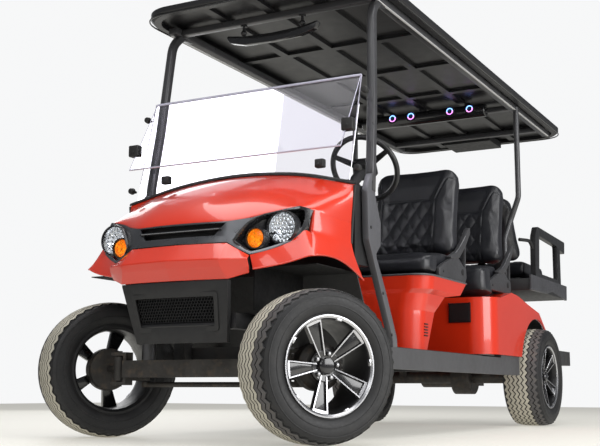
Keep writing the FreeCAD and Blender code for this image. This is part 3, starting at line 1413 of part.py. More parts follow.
for side in (-1, 1):
    # straps that carry the rear back
    x = side * frameX - frameHalf
    low = (value("rearBackLowY") - value("rearBackThick"), value("rearBackLow") + 10)
    high = (value("rearBackHighY") - 0.8 * value("rearBackThick"), value("rearBackHigh"))
    way = vector(0, high[0] - low[0], high[1] - low[1])
    normal = vector(0, -way.z, way.y).normalize()
    spots = [vector(0, *low) + way * share + normal * (frameThick / 2 + seatGap) for share in (0.05, 0.6)]
    strapY = axleY - 5
    arms.append(stripe([(strapY, trayFloor - 10), (strapY, 980)] + [(spot.y, spot.z) for spot in spots], frameThick,
                       (x, x + 2 * frameHalf)))
node("rear_seat_arms", feature("rearSeatArms", arms[0].fuse(arms[1:]).removeSplitter()))

# footboard for the rear riders, carried by two straps off the chassis
footEnd = "(wheelbase + rearReach)"
footFront = f"({footEnd} - footboardDepth)"
boardPieces = [
    block("footPlate", ("-footboardHalf", "footboardHalf"), (footFront, footEnd),
          ("footboardLow", "footboardLow + footboardThick")),
    block("footLip", ("-footboardHalf", "footboardHalf"), (footFront, f"{footFront} + footboardThick"),
          ("footboardLow", "footboardLow + footboardLip")),
]
for side in (-1, 1):
    name = sideName(side)
    boardPieces.append(block("footCheek" + name, sided(side, "(footboardHalf - footboardThick)", "footboardHalf"),
                             (footFront, footEnd), ("footboardLow", "footboardLow + footboardLip")))
    boardPieces.append(block("footStrap" + name, sided(side, "(railX - strapWidth / 2)", "(railX + strapWidth / 2)"),
                             ("railEnd", f"{footFront} + footboardThick"), ("footboardLow", "rearRailTop - 10")))
node("footboard", fuse("footboard", boardPieces))

# canopy: a shallow dome with a deep lip, recessed and ribbed below
x = value("canopyHalf")
y = (value("canopyFront"), value("canopyEnd"))
low = value("canopyLow")
lip = low + value("canopyLip")
taper = value("canopySlope")
corner = value("canopyCorner")
crown = Part.makeLoft([
    softBox((-x + 12, x - 12), (y[0] + 12, y[1] - 12), low, corner),
    softBox((-x, x), y, low + 14, corner),
    softBox((-x, x), y, lip, corner),
    softBox((-x + taper, x - taper), (y[0] + taper, y[1] - taper), lip + value("canopyRise"), corner),
], True, True)
canopyEdge = value("canopyRim")
recess = Part.Face(softBox((-x + canopyEdge, x - canopyEdge), (y[0] + canopyEdge, y[1] - canopyEdge), low - 1, corner - 20))
crown = crown.cut(recess.extrude(vector(0, 0, value("canopyRecess") + 1)))
ribLow = low + value("canopyRecess - ribTall")
ribWidth = value("ribWidth")
inside = y[1] - y[0] - 2 * canopyEdge
ribs = []
for index in range(6):
    yRib = y[0] + 330 + index * (y[1] - y[0] - 660) / 5
    ribs.append(Part.makeBox(2 * (x - canopyEdge) + 8, ribWidth, value("ribTall"),
                             vector(-x + canopyEdge - 4, yRib - ribWidth / 2, ribLow)))
for side in (-1, 0, 1):
    ribs.append(Part.makeBox(ribWidth, inside + 8, value("ribTall"),
                             vector(side * value("ribX") - ribWidth / 2, y[0] + canopyEdge - 4, ribLow)))
node("canopy", feature("canopy", crown.fuse(ribs).removeSplitter()))

# canopy frame: side rails and cross bars under the canopy, on two struts down to the sills
# at the front and two that bend in between the middle and rear backs
roofRailTop = ribLow - seatGap
roofRailLow = roofRailTop - value("canopyRailTall")
roofRailHalf = value("canopyRailWidth") / 2
roofRailX = value("canopyRailX")
roofRailStart = y[0] + canopyEdge + corner - 20
roofRailLength = inside - 2 * (corner - 20)
barY = value("crossBarY")
frameParts = []
for side in (-1, 1):
    frameParts.append(Part.makeBox(2 * roofRailHalf, roofRailLength, value("canopyRailTall"),
                                   vector(side * roofRailX - roofRailHalf, roofRailStart, roofRailLow)))
for near in (barY - 20, value("rearStrutY") - 20, value("roofBoxY") - 60):
    frameParts.append(Part.makeBox(2 * roofRailX, 40, value("canopyRailTall"), vector(-roofRailX, near, roofRailLow)))
strutX = value("strutX")
thick = value("strutThick")
width = value("strutWidth")
leanZ = value("strutLeanZ")
upperPath = [(560, roofRailLow + 10), (490, roofRailLow - 60), (437, 1428), (393, 1164), (382, 1060)]
sleeve = [(400, 1118), (362, 1118), (318, 1040), (328, 826), (448, 626), (570, 429), (572, 389.3), (622, 389.3),
          (618, 429), (500, 626), (400, 770), (452, 815), (455, 912), (400, 1020)]
for side in (-1, 1):
    bar = stripe(upperPath, width, (-thick / 2, thick / 2))
    bar.rotate(vector(0, 0, leanZ), vector(0, 1, 0), -side * value("strutLean"))
    bar.translate(vector(side * strutX, 0, 0))
    blade = sideFace(sleeve, side * strutX - value("sleeveThick") / 2).extrude(vector(value("sleeveThick"), 0, 0))
    frameParts += [bar, blade]
    inX = side * value("rearStrutInX")
    spots = [vector(side * value("rearStrutX"), value("rearStrutY"), roofRailLow + 10),
             vector(side * value("rearStrutX"), value("rearStrutY"), 1390),
             vector(inX + side * 30, value("rearStrutY") + 10, 1254), vector(inX, value("rearStrutY") - 30, 1130),
             vector(inX, value("rearStrutY") - 30, bodyTop + 14.2)]
    for start, end in zip(spots, spots[1:]):
        frameParts.append(Part.makeCylinder(value("rearStrutRadius"), (end - start).Length, start, end - start))
    frameParts += [Part.makeSphere(value("rearStrutRadius"), spot) for spot in spots[1:-1]]
node("canopy_frame", feature("canopyFrame", frameParts[0].fuse(frameParts[1:]).removeSplitter()))

# windshield: a lower pane on the cowl's arched foot, with the upper one folded down in front of it
paneThick = value("paneThick")
paneHalf = value("paneHalf")
stripTall = value("stripTall")
topY = footY + slope * (value("paneTop") - footZ)
lower = stripe([(footY - slope * 60, footZ - 60), (topY, value("paneTop"))], paneThick, (-paneHalf, paneHalf))
lower.translate(vector(0, value("stripThick") / 2, 0))


def raised(line, up):
    copy = line.copy()
    copy.translate(vector(0, 0, up))
    return copy


# everything below a line that follows the cowl's top edge
underFoot = Part.makeRuledSurface(raised(hoodLines[-1], stripTall + 2 * seatGap), raised(hoodLines[-1], -200))
underFoot.translate(vector(0, -100, 0))
lower = lower.cut(underFoot.extrude(vector(0, 200, 0)))
strip = skin([raised(hoodLines[-1], stripTall + seatGap), raised(hoodLines[-1], seatGap)],
             vector(0, value("stripThick"), 0))
folded = stripe([(value("foldedLowY"), value("foldedLow")), (value("foldedTopY"), value("paneTop") + 4)], paneThick,
                (-value("foldedHalf"), value("foldedHalf")))
node("windshield", feature("windshield", Part.makeCompound([lower, folded])))

# windshield fittings: two clips at the folded pane's edges, two on the lower pane, the hinge strip and the foot
clips = (
    (value("foldedHalf + bigClipX"), value("foldedLowY + bigClipShare * (foldedTopY - foldedLowY) - paneThick"),
     value("foldedLow + bigClipShare * (paneTop + 4 - foldedLow)"), value("bigClip"), value("bigClipDeep")),
    (value("paneHalf - smallClipInset"), footY + slope * (value("smallClipZ") - footZ) + paneThick / 2,
     value("smallClipZ"), value("smallClip"), value("smallClipDeep")),
)
fittings = []
for side in (-1, 1):
    for clipX, clipY, clipZ, clipWide, clipDeep in clips:
        clip = Part.makeBox(clipWide, clipDeep, clipWide, vector(side * clipX - clipWide / 2, clipY - clipDeep / 2,
                                                                 clipZ - clipWide / 2))
        pieces = clip.cut(lower).cut(folded).cut(strip).cut(hood).Solids
        fittings.append(max(pieces, key=lambda solid: solid.Volume))
node("windshield_clips", feature("windshieldClips", Part.makeCompound(fittings + [strip])))

# mirror on two stems under the front cross bar
mirrorHalf, mirrorZ, mirrorTall = value("mirrorHalf"), value("mirrorZ"), value("mirrorTall")
mirrorY = barY + value("mirrorThick") / 2
mirrorBody = Part.Face(softWire([
    vector(-mirrorHalf, mirrorY, mirrorZ - mirrorTall / 2),
    vector(mirrorHalf, mirrorY, mirrorZ - mirrorTall / 2),
    vector(mirrorHalf, mirrorY, mirrorZ + mirrorTall / 2),
    vector(-mirrorHalf, mirrorY, mirrorZ + mirrorTall / 2),
], [25] * 4)).extrude(vector(0, -value("mirrorThick"), 0))
stems = [Part.makeBox(20, 14, roofRailLow - seatGap - mirrorZ, vector(side * value("mirrorStemX") - 10, barY - 7, mirrorZ))
         for side in (-1, 1)]
node("mirror", feature("mirror", mirrorBody.fuse(stems).removeSplitter()))

# sound bar and box under the canopy's ribs
soundZ = roofRailTop - value("soundRadius + soundDrop")
bar = Part.makeCylinder(value("soundRadius"), 2 * value("soundHalf"),
                        vector(-value("soundHalf"), value("soundY"), soundZ), vector(1, 0, 0))
feet = [Part.makeBox(40, 50, roofRailTop - soundZ, vector(side * value("ribX") - 20, value("soundY") - 25, soundZ))
        for side in (-1, 1)]
node("sound_bar", feature("soundBar", bar.fuse(feet).removeSplitter()))
node("roof_box", feature("roofBox", Part.makeBox(2 * value("roofBoxHalf"), value("roofBoxDepth"), value("roofBoxTall"),
                                                 vector(-value("roofBoxHalf"), value("roofBoxY"),
                                                        roofRailTop - value("roofBoxTall")))))

doc.recompute()
for thing in doc.Objects:
    if {"Invalid", "Error"} & set(thing.State):
        raise RuntimeError(f"{thing.Label} failed: {thing.State}")
os.makedirs("parts", exist_ok=True)
for piece in nodes:
    if piece.Shape.isNull() or not piece.Shape.isValid():
        raise RuntimeError(f"{piece.Label} has no valid shape")
    piece.Shape.exportStep(f"parts/{piece.Label}.step")
print(len(nodes), "sub-parts, front axle at y", round(value(frontAxle), 3))
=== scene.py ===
import math

import bpy
from mathutils import Matrix, Vector


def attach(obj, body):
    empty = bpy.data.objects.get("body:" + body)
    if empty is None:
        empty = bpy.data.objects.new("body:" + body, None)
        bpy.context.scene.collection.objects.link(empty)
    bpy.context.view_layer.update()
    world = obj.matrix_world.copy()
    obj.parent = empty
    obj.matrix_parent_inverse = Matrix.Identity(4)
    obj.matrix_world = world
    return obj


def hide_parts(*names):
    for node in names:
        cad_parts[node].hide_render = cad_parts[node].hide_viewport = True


# A lifted six seat electric golf cart, dressed over its CAD solids.
# Places are in millimetres unless a note says otherwise: x to the cart's left, y back from the front axle line, z up.

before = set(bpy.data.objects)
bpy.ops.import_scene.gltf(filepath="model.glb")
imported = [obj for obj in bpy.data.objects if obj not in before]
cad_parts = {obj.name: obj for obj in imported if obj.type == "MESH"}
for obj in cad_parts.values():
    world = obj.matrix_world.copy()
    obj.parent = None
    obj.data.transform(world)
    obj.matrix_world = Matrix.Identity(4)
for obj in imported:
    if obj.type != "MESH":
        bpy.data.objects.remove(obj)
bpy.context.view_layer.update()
print("frame loaded")

cart = {
    "frontAxle": -1690.498, "wheelbase": 2795, "steerAngle": 33.2, "kingpinX": 431, "spindle": 154,
    "rearTrack": 570, "tyreRadius": 292,
}
acrossCart = Matrix.Diagonal((-1, 1, 1, 1))


def spot(x, y, z):
    # millimetres from the front axle line to metres in the shared frame
    return Vector((x / 1000, (y + cart["frontAxle"]) / 1000, z / 1000))


def movedTo(x, y, z):
    return Matrix.Translation(spot(x, y, z))


def turned(angle, axis):
    return Matrix.Rotation(math.radians(angle), 4, axis)


def pick(piece):
    bpy.ops.object.select_all(action="DESELECT")
    piece.select_set(True)
    bpy.context.view_layer.objects.active = piece
    return piece


def added(name):
    # the primitive that was just made
    piece = bpy.context.object
    piece.name = name
    return piece


def modify(piece, kind, **settings):
    # a modifier, set up and applied
    pick(piece)
    step = piece.modifiers.new(kind.title(), kind)
    for name, setting in settings.items():
        setattr(step, name, setting)
    bpy.ops.object.modifier_apply(modifier=step.name)
    return piece


def settle(piece):
    # the place goes into the mesh
    pick(piece)
    bpy.ops.object.transform_apply(location=True, rotation=True, scale=True)
    return piece


def soften(piece, edge, rounds=2, angle=30):
    # rounds every edge that is sharper than the angle
    if edge:
        modify(piece, "BEVEL", width=edge / 1000, segments=rounds, limit_method="ANGLE",
               angle_limit=math.radians(angle))
    return piece


def smooth(piece, angle=35):
    pick(piece)
    bpy.ops.object.shade_smooth_by_angle(angle=math.radians(angle))
    return piece


def edit(piece):
    # every edit ends with leave()
    pick(piece)
    bpy.ops.object.mode_set(mode="EDIT")
    bpy.ops.mesh.select_all(action="SELECT")


def leave(piece):
    bpy.ops.object.mode_set(mode="OBJECT")
    return piece


def outwards(piece):
    # doubles are merged, then faces turned out
    edit(piece)
    bpy.ops.mesh.remove_doubles(threshold=0.00005)
    bpy.ops.mesh.normals_make_consistent(inside=False)
    return leave(piece)


def block(name, low, high, edge=2, rounds=2):
    # a moulded box between two corners
    near, far = spot(*low), spot(*high)
    bpy.ops.mesh.primitive_cube_add(size=1, location=(near + far) / 2)
    piece = added(name)
    piece.scale = [abs(size) for size in far - near]
    return smooth(soften(settle(piece), edge, rounds))


def rod(name, start, end, radius, far=None, sides=32, edge=0, rounds=2):
    # a round bar between two places
    near, tip = spot(*start), spot(*end)
    way = tip - near
    bpy.ops.mesh.primitive_cone_add(vertices=sides, radius1=radius / 1000, depth=way.length,
                                    radius2=(radius if far is None else far) / 1000, location=(near + tip) / 2,
                                    rotation=way.to_track_quat("Z", "Y").to_euler())
    return smooth(soften(settle(added(name)), edge, rounds))


def rounded(corners, radius, steps=5):
    # an outline with its corners turned into arcs
    soft = []
    for index, corner in enumerate(corners):
        size = radius[index] if isinstance(radius, (list, tuple)) else radius
        here = Vector(corner)
        before = Vector(corners[index - 1]) - here
        after = Vector(corners[(index + 1) % len(corners)]) - here
        if size < 0.5:
            soft.append(tuple(here))
            continue
        reach = min(size / math.tan(before.angle(after) / 2), before.length * 0.49, after.length * 0.49)
        start, end = here + before.normalized() * reach, here + after.normalized() * reach
        for step in range(steps + 1):
            share = step / steps
            soft.append(tuple(start * (1 - share) ** 2 + here * 2 * share * (1 - share) + end * share ** 2))
    return soft


def plate(name, outline, low, high, axis="x", edge=2, rounds=2, place=True):
    # an outline on the plane across an axis, extruded from low to high along it
    order = {"x": (1, 2, 0), "y": (0, 2, 1), "z": (0, 1, 2)}[axis]
    bpy.ops.mesh.primitive_circle_add(vertices=len(outline), radius=1, fill_type="NGON", location=(0, 0, 0))
    piece = added(name)
    for vertex, point in zip(piece.data.vertices, outline):
        here = [0, 0, 0]
        here[order[0]], here[order[1]], here[order[2]] = point[0], point[1], low
        vertex.co = spot(*here) if place else Vector(here) / 1000
    way = [0, 0, 0]
    way[order[2]] = (high - low) / 1000
    edit(piece)
    bpy.ops.mesh.extrude_region_move(TRANSFORM_OT_translate={"value": way})
    leave(piece)
    return smooth(soften(outwards(piece), edge, rounds))


def panel(name, rows, outside, wall=0, rounds=0, place=True):
    # a moulded sheet through rows of places; outside is where it faces, or a rule that tells it for each place
    bpy.ops.mesh.primitive_grid_add(x_subdivisions=len(rows[0]) - 1, y_subdivisions=len(rows) - 1, size=2,
                                    location=(0, 0, 0))
    piece = added(name)
    for vertex, here in zip(piece.data.vertices, [here for row in rows for here in row]):
        vertex.co = spot(*here) if place else Vector(here) / 1000
    outwards(piece)
    rule = outside if callable(outside) else lambda middle: Vector(outside)
    if sum(face.normal.dot(rule(face.center)) * face.area for face in piece.data.polygons) < 0:
        edit(piece)
        bpy.ops.mesh.flip_normals()
        leave(piece)
    if rounds:
        modify(piece, "SUBSURF", levels=rounds, render_levels=rounds, boundary_smooth="PRESERVE_CORNERS")
    if wall:
        modify(piece, "SOLIDIFY", thickness=wall / 1000, offset=-1, use_even_offset=True, use_rim=True)
    return smooth(piece)


def lathe(name, outline, steps=72):
    # an outline of (along the axle, out from it) spun round the x axis
    bpy.ops.mesh.primitive_circle_add(vertices=len(outline), radius=1, fill_type="NOTHING", location=(0, 0, 0))
    piece = added(name)
    for vertex, (along, out) in zip(piece.data.vertices, outline):
        vertex.co = Vector((along, 0, out)) / 1000
    edit(piece)
    bpy.ops.mesh.spin(steps=steps, angle=2 * math.pi, center=(0, 0, 0), axis=(1, 0, 0))
    leave(piece)
    return smooth(outwards(piece), 30)


def tube(name, spots, radius, sides=6, curved=False):
    # a round bar along a line
    curve = bpy.data.curves.new(name, "CURVE")
    curve.dimensions = "3D"
    line = curve.splines.new("NURBS" if curved else "POLY")
    line.points.add(len(spots) - 1)
    for point, here in zip(line.points, spots):
        point.co = (*spot(*here), 1)
    if curved:
        line.order_u = 3
        line.use_endpoint_u = True
        line.resolution_u = 6
    curve.bevel_depth = radius / 1000
    curve.bevel_resolution = sides
    curve.use_fill_caps = True
    piece = bpy.data.objects.new(name, curve)
    bpy.context.scene.collection.objects.link(piece)
    pick(piece)
    bpy.ops.object.convert(target="MESH")
    return smooth(outwards(added(name)), 40)


def join(name, pieces):
    pick(pieces[0])
    for piece in pieces:
        piece.select_set(True)
    if len(pieces) > 1:
        bpy.ops.object.join()
    pieces[0].name = name
    pieces[0].data.name = name
    return pieces[0]


def copied(piece, name, turn):
    # the same mesh again, moved by a matrix
    twin = piece.copy()
    twin.data = piece.data.copy()
    twin.name = name
    bpy.context.scene.collection.objects.link(twin)
    twin.data.transform(turn)
    if turn.determinant() < 0:
        twin.data.flip_normals()
    return twin


def paired(piece):
    # the piece and its twin on the cart's other side, as one piece
    name = piece.name
    return join(name, [piece, copied(piece, name + "Twin", acrossCart)])


def carve(piece, cutter, way="DIFFERENCE"):
    modify(piece, "BOOLEAN", operation=way, object=cutter, solver="EXACT")
    bpy.data.objects.remove(cutter)
    return piece


def coated(piece, coat):
    piece.data.materials.clear()
    piece.data.materials.append(finishes[coat])
    return piece


def dress(piece, coat, body="chassis", stands=()):
    # the finish, what it moves with and the nodes it stands for
    if coat:
        coated(piece, coat)
    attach(piece, body)
    if stands:
        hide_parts(*stands)
    return piece


def newMaterial(name):
    material = bpy.data.materials.new(name)
    material.use_nodes = True
    return material, material.node_tree, material.node_tree.nodes["Principled BSDF"]


def wired(tree, node, values, links=None):
    # a node's sockets set and joined by name
    for name, value in values.items():
        node.inputs[name].default_value = value
    for name, source in (links or {}).items():
        tree.links.new(source, node.inputs[name])
    return node


def shaderNode(tree, kind, values, links=None):
    return wired(tree, tree.nodes.new("ShaderNode" + kind), values, links)


def noise(tree, scale, detail=4, stretch=None, kind="TexNoise"):
    places = shaderNode(tree, "TexCoord", {}).outputs["Object"]
    if stretch:
        places = shaderNode(tree, "Mapping", {"Scale": stretch}, {"Vector": places}).outputs["Vector"]
    texture = shaderNode(tree, kind, {"Scale": scale, "Detail": detail}, {"Vector": places})
    return texture.outputs["Distance" if kind == "TexVoronoi" else "Fac"]


def spread(tree, source, low, high, start=0.3, end=0.7):
    return shaderNode(tree, "MapRange", {"From Min": start, "From Max": end, "To Min": low, "To Max": high},
                      {"Value": source}).outputs["Result"]


def blended(tree, share, first, second):
    mix = shaderNode(tree, "Mix", {})
    mix.data_type = "RGBA"
    tree.links.new(share, mix.inputs["Factor"])
    for socket, colour in (("A", first), ("B", second)):
        place = [entry for entry in mix.inputs if entry.name == socket and entry.type == "RGBA"][0]
        if hasattr(colour, "is_linked"):
            tree.links.new(colour, place)
        else:
            place.default_value = (*colour, 1)
    return [entry for entry in mix.outputs if entry.type == "RGBA"][0]


def clouded(tree, scale, detail, first, second, stretch=None):
    return blended(tree, spread(tree, noise(tree, scale, detail, stretch), 0, 1), first, second)


def bumped(tree, shader, height, strength, depth):
    bump = shaderNode(tree, "Bump", {"Strength": strength, "Distance": depth}, {"Height": height})
    tree.links.new(bump.outputs["Normal"], shader.inputs["Normal"])


def finish(name, colour, rough, cloud, grain, metal=0.0, coat=0.0, dull=0.06, specular=0.5, stretch=None,
           pebble=False, dust=None):
    material, tree, shader = newMaterial(name)
    dark, light = ([part * (1 + drift) for part in colour] for drift in (-cloud[1], cloud[1]))
    tint = clouded(tree, cloud[0], 5, dark, light, stretch)
    if dust:
        powder, scale, share, start, end = dust
        tint = blended(tree, spread(tree, noise(tree, scale, 8), 0, share, start, end), tint, powder)
    patches = spread(tree, noise(tree, cloud[0] * 7, 5, stretch), max(rough - dull, 0.02), min(rough + dull, 1))
    wired(tree, shader, {"Metallic": metal, "Coat Weight": coat, "Coat Roughness": 0.04,
                         "Specular IOR Level": specular}, {"Base Color": tint, "Roughness": patches})
    height = noise(tree, grain[0], 4 if pebble else 6, stretch, "TexVoronoi" if pebble else "TexNoise")
    bumped(tree, shader, height, grain[1], grain[2])
    return material


def clearFinish(name, colour, rough, ior, bubble=(40, 0.02), haze=0.0):
    # see-through plastic, glass or a coloured lens
    material, tree, shader = newMaterial(name)
    scuffs = spread(tree, noise(tree, 9, 6), rough, rough + haze, 0.5, 0.8)
    wired(tree, shader, {"Transmission Weight": 1.0, "IOR": ior},
          {"Base Color": clouded(tree, 3, 3, colour, [part * 0.97 for part in colour]), "Roughness": scuffs})
    bumped(tree, shader, noise(tree, bubble[0], 3), bubble[1], 0.0005)
    return material


def glowFinish(name, colour, strength):
    material, tree, shader = newMaterial(name)
    tint = clouded(tree, 60, 3, colour, [min(part * 1.3, 1) for part in colour])
    wired(tree, shader, {"Emission Strength": strength}, {"Base Color": tint, "Emission Color": tint})
    return material


# colour, roughness, scale and strength of the colour's drift, scale, strength and depth of the grain;
# dust is its colour, scale and share and the two ends of its noise
coats = {
    "redGloss": ((0.70, 0.030, 0.006), 0.3, (1.5, 0.04), (700, 0.02, 0.0001), {"coat": 0.75, "dull": 0.015}),
    "sleeveGrey": ((0.13, 0.13, 0.14), 0.36, (6, 0.1), (1300, 0.2, 0.0002), {"metal": 0.3}),
    "gunmetal": ((0.15, 0.155, 0.165), 0.3, (4, 0.06), (2600, 0.12, 0.00012), {"metal": 0.9, "coat": 0.3}),
    "chrome": ((0.78, 0.79, 0.8), 0.14, (6, 0.03), (900, 0.03, 0.0001), {"metal": 1.0, "dull": 0.03}),
    "mattBlack": ((0.011, 0.011, 0.012), 0.55, (5, 0.18), (1500, 0.35, 0.0003), {"dull": 0.08}),
    "satinBlack": ((0.012, 0.012, 0.013), 0.36, (5, 0.15), (900, 0.12, 0.0002), {}),
    "glossBlack": ((0.012, 0.012, 0.013), 0.16, (5, 0.1), (500, 0.04, 0.0002), {"coat": 0.5, "dull": 0.04}),
    "canopyBlack": ((0.009, 0.009, 0.010), 0.38, (2, 0.1), (700, 0.28, 0.0004), {"dull": 0.03}),
    "strutGrey": ((0.060, 0.060, 0.064), 0.33, (6, 0.1), (1300, 0.16, 0.00018), {"metal": 0.25}),
    "sillGrey": ((0.070, 0.070, 0.074), 0.5, (4, 0.12), (1200, 0.4, 0.0003), {}),
    "vinyl": ((0.014, 0.0145, 0.018), 0.37, (6, 0.2), (520, 0.22, 0.0006),
              {"dull": 0.07, "pebble": True, "specular": 0.55}),
    "alloyBlack": ((0.014, 0.014, 0.015), 0.2, (5, 0.1), (700, 0.04, 0.0002), {"coat": 0.6, "dull": 0.04}),
    "machined": ((0.56, 0.56, 0.58), 0.26, (9, 0.05), (60, 0.12, 0.0002),
                 {"metal": 1.0, "dull": 0.05, "stretch": (1, 30, 30)}),
    "axleIron": ((0.060, 0.056, 0.052), 0.58, (9, 0.3), (260, 0.4, 0.0008),
                 {"metal": 0.5, "dull": 0.12, "dust": ((0.20, 0.14, 0.09), 30, 0.35, 0.52, 0.75)}),
    "framePaint": ((0.030, 0.030, 0.032), 0.45, (6, 0.2), (500, 0.25, 0.0005),
                   {"dust": ((0.12, 0.10, 0.08), 14, 0.25, 0.5, 0.8)}),
    "springSteel": ((0.10, 0.10, 0.105), 0.38, (12, 0.2), (300, 0.25, 0.0005), {"metal": 0.8}),
    "linerBlack": ((0.0025, 0.0025, 0.003), 0.75, (7, 0.25), (350, 0.5, 0.0008),
                   {"specular": 0.25, "dust": ((0.04, 0.035, 0.03), 18, 0.2, 0.5, 0.8)}),
    "batteryGrey": ((0.07, 0.07, 0.08), 0.5, (8, 0.12), (900, 0.3, 0.0004), {}),
    "tyreWall": ((0.010, 0.010, 0.011), 0.55, (14, 0.2), (420, 0.3, 0.0004),
                 {"dull": 0.08, "dust": ((0.05, 0.045, 0.04), 16, 0.2, 0.5, 0.82)}),
    "tyreTread": ((0.50, 0.47, 0.39), 0.85, (9, 0.12), (300, 0.5, 0.0006),
                  {"dull": 0.08, "dust": ((0.10, 0.09, 0.075), 40, 0.45, 0.55, 0.8)}),
    "tyreShoulder": ((0.085, 0.080, 0.080), 0.7, (12, 0.2), (300, 0.4, 0.0006),
                     {"dull": 0.08, "dust": ((0.20, 0.175, 0.14), 20, 0.5, 0.5, 0.8)}),
    "sealRubber": ((0.012, 0.012, 0.012), 0.6, (8, 0.2), (800, 0.25, 0.0003), {}),
    "floorMat": ((0.030, 0.030, 0.031), 0.7, (8, 0.2), (90, 0.5, 0.0012), {"pebble": True}),
    "lampBlack": ((0.016, 0.016, 0.018), 0.28, (9, 0.1), (600, 0.1, 0.0002), {"coat": 0.3}),
    "plainBolt": ((0.42, 0.42, 0.43), 0.35, (40, 0.15), (700, 0.2, 0.0002), {"metal": 1.0}),
    "stripPale": ((0.62, 0.62, 0.62), 0.4, (20, 0.06), (900, 0.1, 0.0002), {}),
    # the pale colour of the pane edges is a painted highlight
    "paneEdgeHighlight": ((0.50, 0.49, 0.60), 0.2, (20, 0.08), (900, 0.05, 0.0002), {"coat": 0.5}),
    "restraintGrey": ((0.045, 0.045, 0.048), 0.42, (9, 0.12), (1100, 0.3, 0.0003), {}),
    "trayGrey": ((0.055, 0.055, 0.06), 0.38, (6, 0.15), (1000, 0.25, 0.0003), {}),
    "beadGrey": ((0.075, 0.078, 0.085), 0.35, (9, 0.1), (900, 0.2, 0.0003), {}),
    "mirrorFace": ((0.72, 0.74, 0.76), 0.05, (4, 0.02), (300, 0.01, 0.0001), {"metal": 1.0, "dull": 0.02}),
}
finishes = {name: finish(name, *look[:4], **look[4]) for name, look in coats.items()}
finishes["screen"] = clearFinish("screen", (0.93, 0.92, 0.97), 0.015, 1.2, haze=0.05)
finishes["lensClear"] = clearFinish("lensClear", (0.97, 0.98, 1.0), 0.02, 1.3)
finishes["lensAmber"] = clearFinish("lensAmber", (1.0, 0.62, 0.13), 0.1, 1.3, bubble=(500, 0.3))
amber = finishes["lensAmber"].node_tree
wired(amber, amber.nodes["Principled BSDF"],
      {"Emission Color": (1.0, 0.3, 0.02, 1), "Emission Strength": 0.12})
finishes["ringBlue"] = glowFinish("ringBlue", (0.16, 0.35, 1.0), 3.5)
finishes["ringPurple"] = glowFinish("ringPurple", (0.85, 0.25, 1.0), 3.0)
print("finishes ready")

# camera angles are in radians, the lens in mm, and lamps stand at a place, turned to a target, in metres
view = {
    "place": (2383, -3616, 198), "yaw": -0.4928, "pitch": 0.1595, "roll": 0.003565, "lens": 62.94,
    "floorSize": 19, "floor": (0.50, 0.49, 0.45), "floorGlow": 0.75,
    "sky": (0.93, 0.95, 1.0), "skyLight": 0.2, "backdrop": (0.93, 0.935, 0.94),
    # name: place, target, width, depth and watts
    "lamps": {
        "overhead": ((0.5, -1.0, 4.6), (0, 0, 0.6), 5.0, 6.0, 250),
        "leftWindow": ((5.2, -1.0, 2.0), (0, 0.2, 0.8), 3.6, 2.6, 190),
        "frontWindow": ((0.8, -7.0, 3.4), (0, -1.0, 0.7), 4.0, 2.0, 80),
        "rearFill": ((-4.5, 3.5, 2.6), (0, 0, 0.9), 3.5, 3.5, 70),
    },
}


def aimCamera():
    lens = bpy.data.cameras.new("photoCamera")
    lens.lens = view["lens"]
    lens.sensor_width = 36
    lens.sensor_fit = "HORIZONTAL"
    lens.clip_start = 0.05
    lens.clip_end = 200
    camera = bpy.data.objects.new("photoCamera", lens)
    place = movedTo(*view["place"]) @ Matrix.Rotation(-view["yaw"], 4, "Z")
    tilt = Matrix.Rotation(math.pi / 2 + view["pitch"], 4, "X") @ Matrix.Rotation(view["roll"], 4, "Z")
    camera.matrix_world = place @ tilt
    bpy.context.scene.collection.objects.link(camera)
    bpy.context.scene.camera = camera


def hangLamp(name, place, target, wide, deep, power):
    lamp = bpy.data.lights.new(name, "AREA")
    lamp.shape = "RECTANGLE"
    lamp.size, lamp.size_y, lamp.energy = wide, deep, power
    holder = bpy.data.objects.new(name, lamp)
    holder.location = place
    holder.rotation_euler = (Vector(target) - Vector(place)).to_track_quat("-Z", "Y").to_euler()
    bpy.context.scene.collection.objects.link(holder)


def layFloor():
    bpy.ops.mesh.primitive_plane_add(size=view["floorSize"], location=(0, 0, -0.0005))
    floor = added("studioFloor")
    material, tree, shader = newMaterial("studioFloor")
    tint = clouded(tree, 0.8, 3, view["floor"], [part * 0.97 for part in view["floor"]])
    wired(tree, shader, {"Roughness": 0.6, "Emission Color": (*view["floor"], 1),
                         "Emission Strength": view["floorGlow"]}, {"Base Color": tint})
    floor.data.materials.append(material)


def lightSky():
    # the camera and the glass see a pale backdrop, and all else a dim sky
    world = bpy.data.worlds.new("studio")
    bpy.context.scene.world = world
    world.use_nodes = True
    tree = world.node_tree
    sky = wired(tree, tree.nodes["Background"], {"Color": (*view["sky"], 1), "Strength": view["skyLight"]})
    backdrop = shaderNode(tree, "Background", {"Color": (*view["backdrop"], 1)})
    path = shaderNode(tree, "LightPath", {})
    seen = shaderNode(tree, "Math", {}, {0: path.outputs["Is Camera Ray"], 1: path.outputs["Is Transmission Ray"]})
    seen.operation = "MAXIMUM"
    mix = shaderNode(tree, "MixShader", {}, {"Fac": seen.outputs["Value"], 1: sky.outputs["Background"],
                                             2: backdrop.outputs["Background"]})
    tree.links.new(mix.outputs["Shader"], tree.nodes["World Output"].inputs["Surface"])


aimCamera()
layFloor()
lightSky()
for lampName, lampPlace in view["lamps"].items():
    hangLamp(lampName, *lampPlace)
bpy.context.scene.view_settings.view_transform = "Standard"
print("camera and lamps ready")


# a wheel is built about its own axle, x outboard, then set on each hub
wheel = {
    "grooveRadius": 283, "ribs": 7, "treadRibs": 5, "ribPitch": 27.4, "ribGap": 4.2, "zigzags": 44, "zigzag": 8,
    "crown": 291.8, "ribFoot": 276, "faceX": 72, "lipX": 104, "spokes": 5, "spokeTurn": 23, "lugs": 5, "lugOut": 46,
}


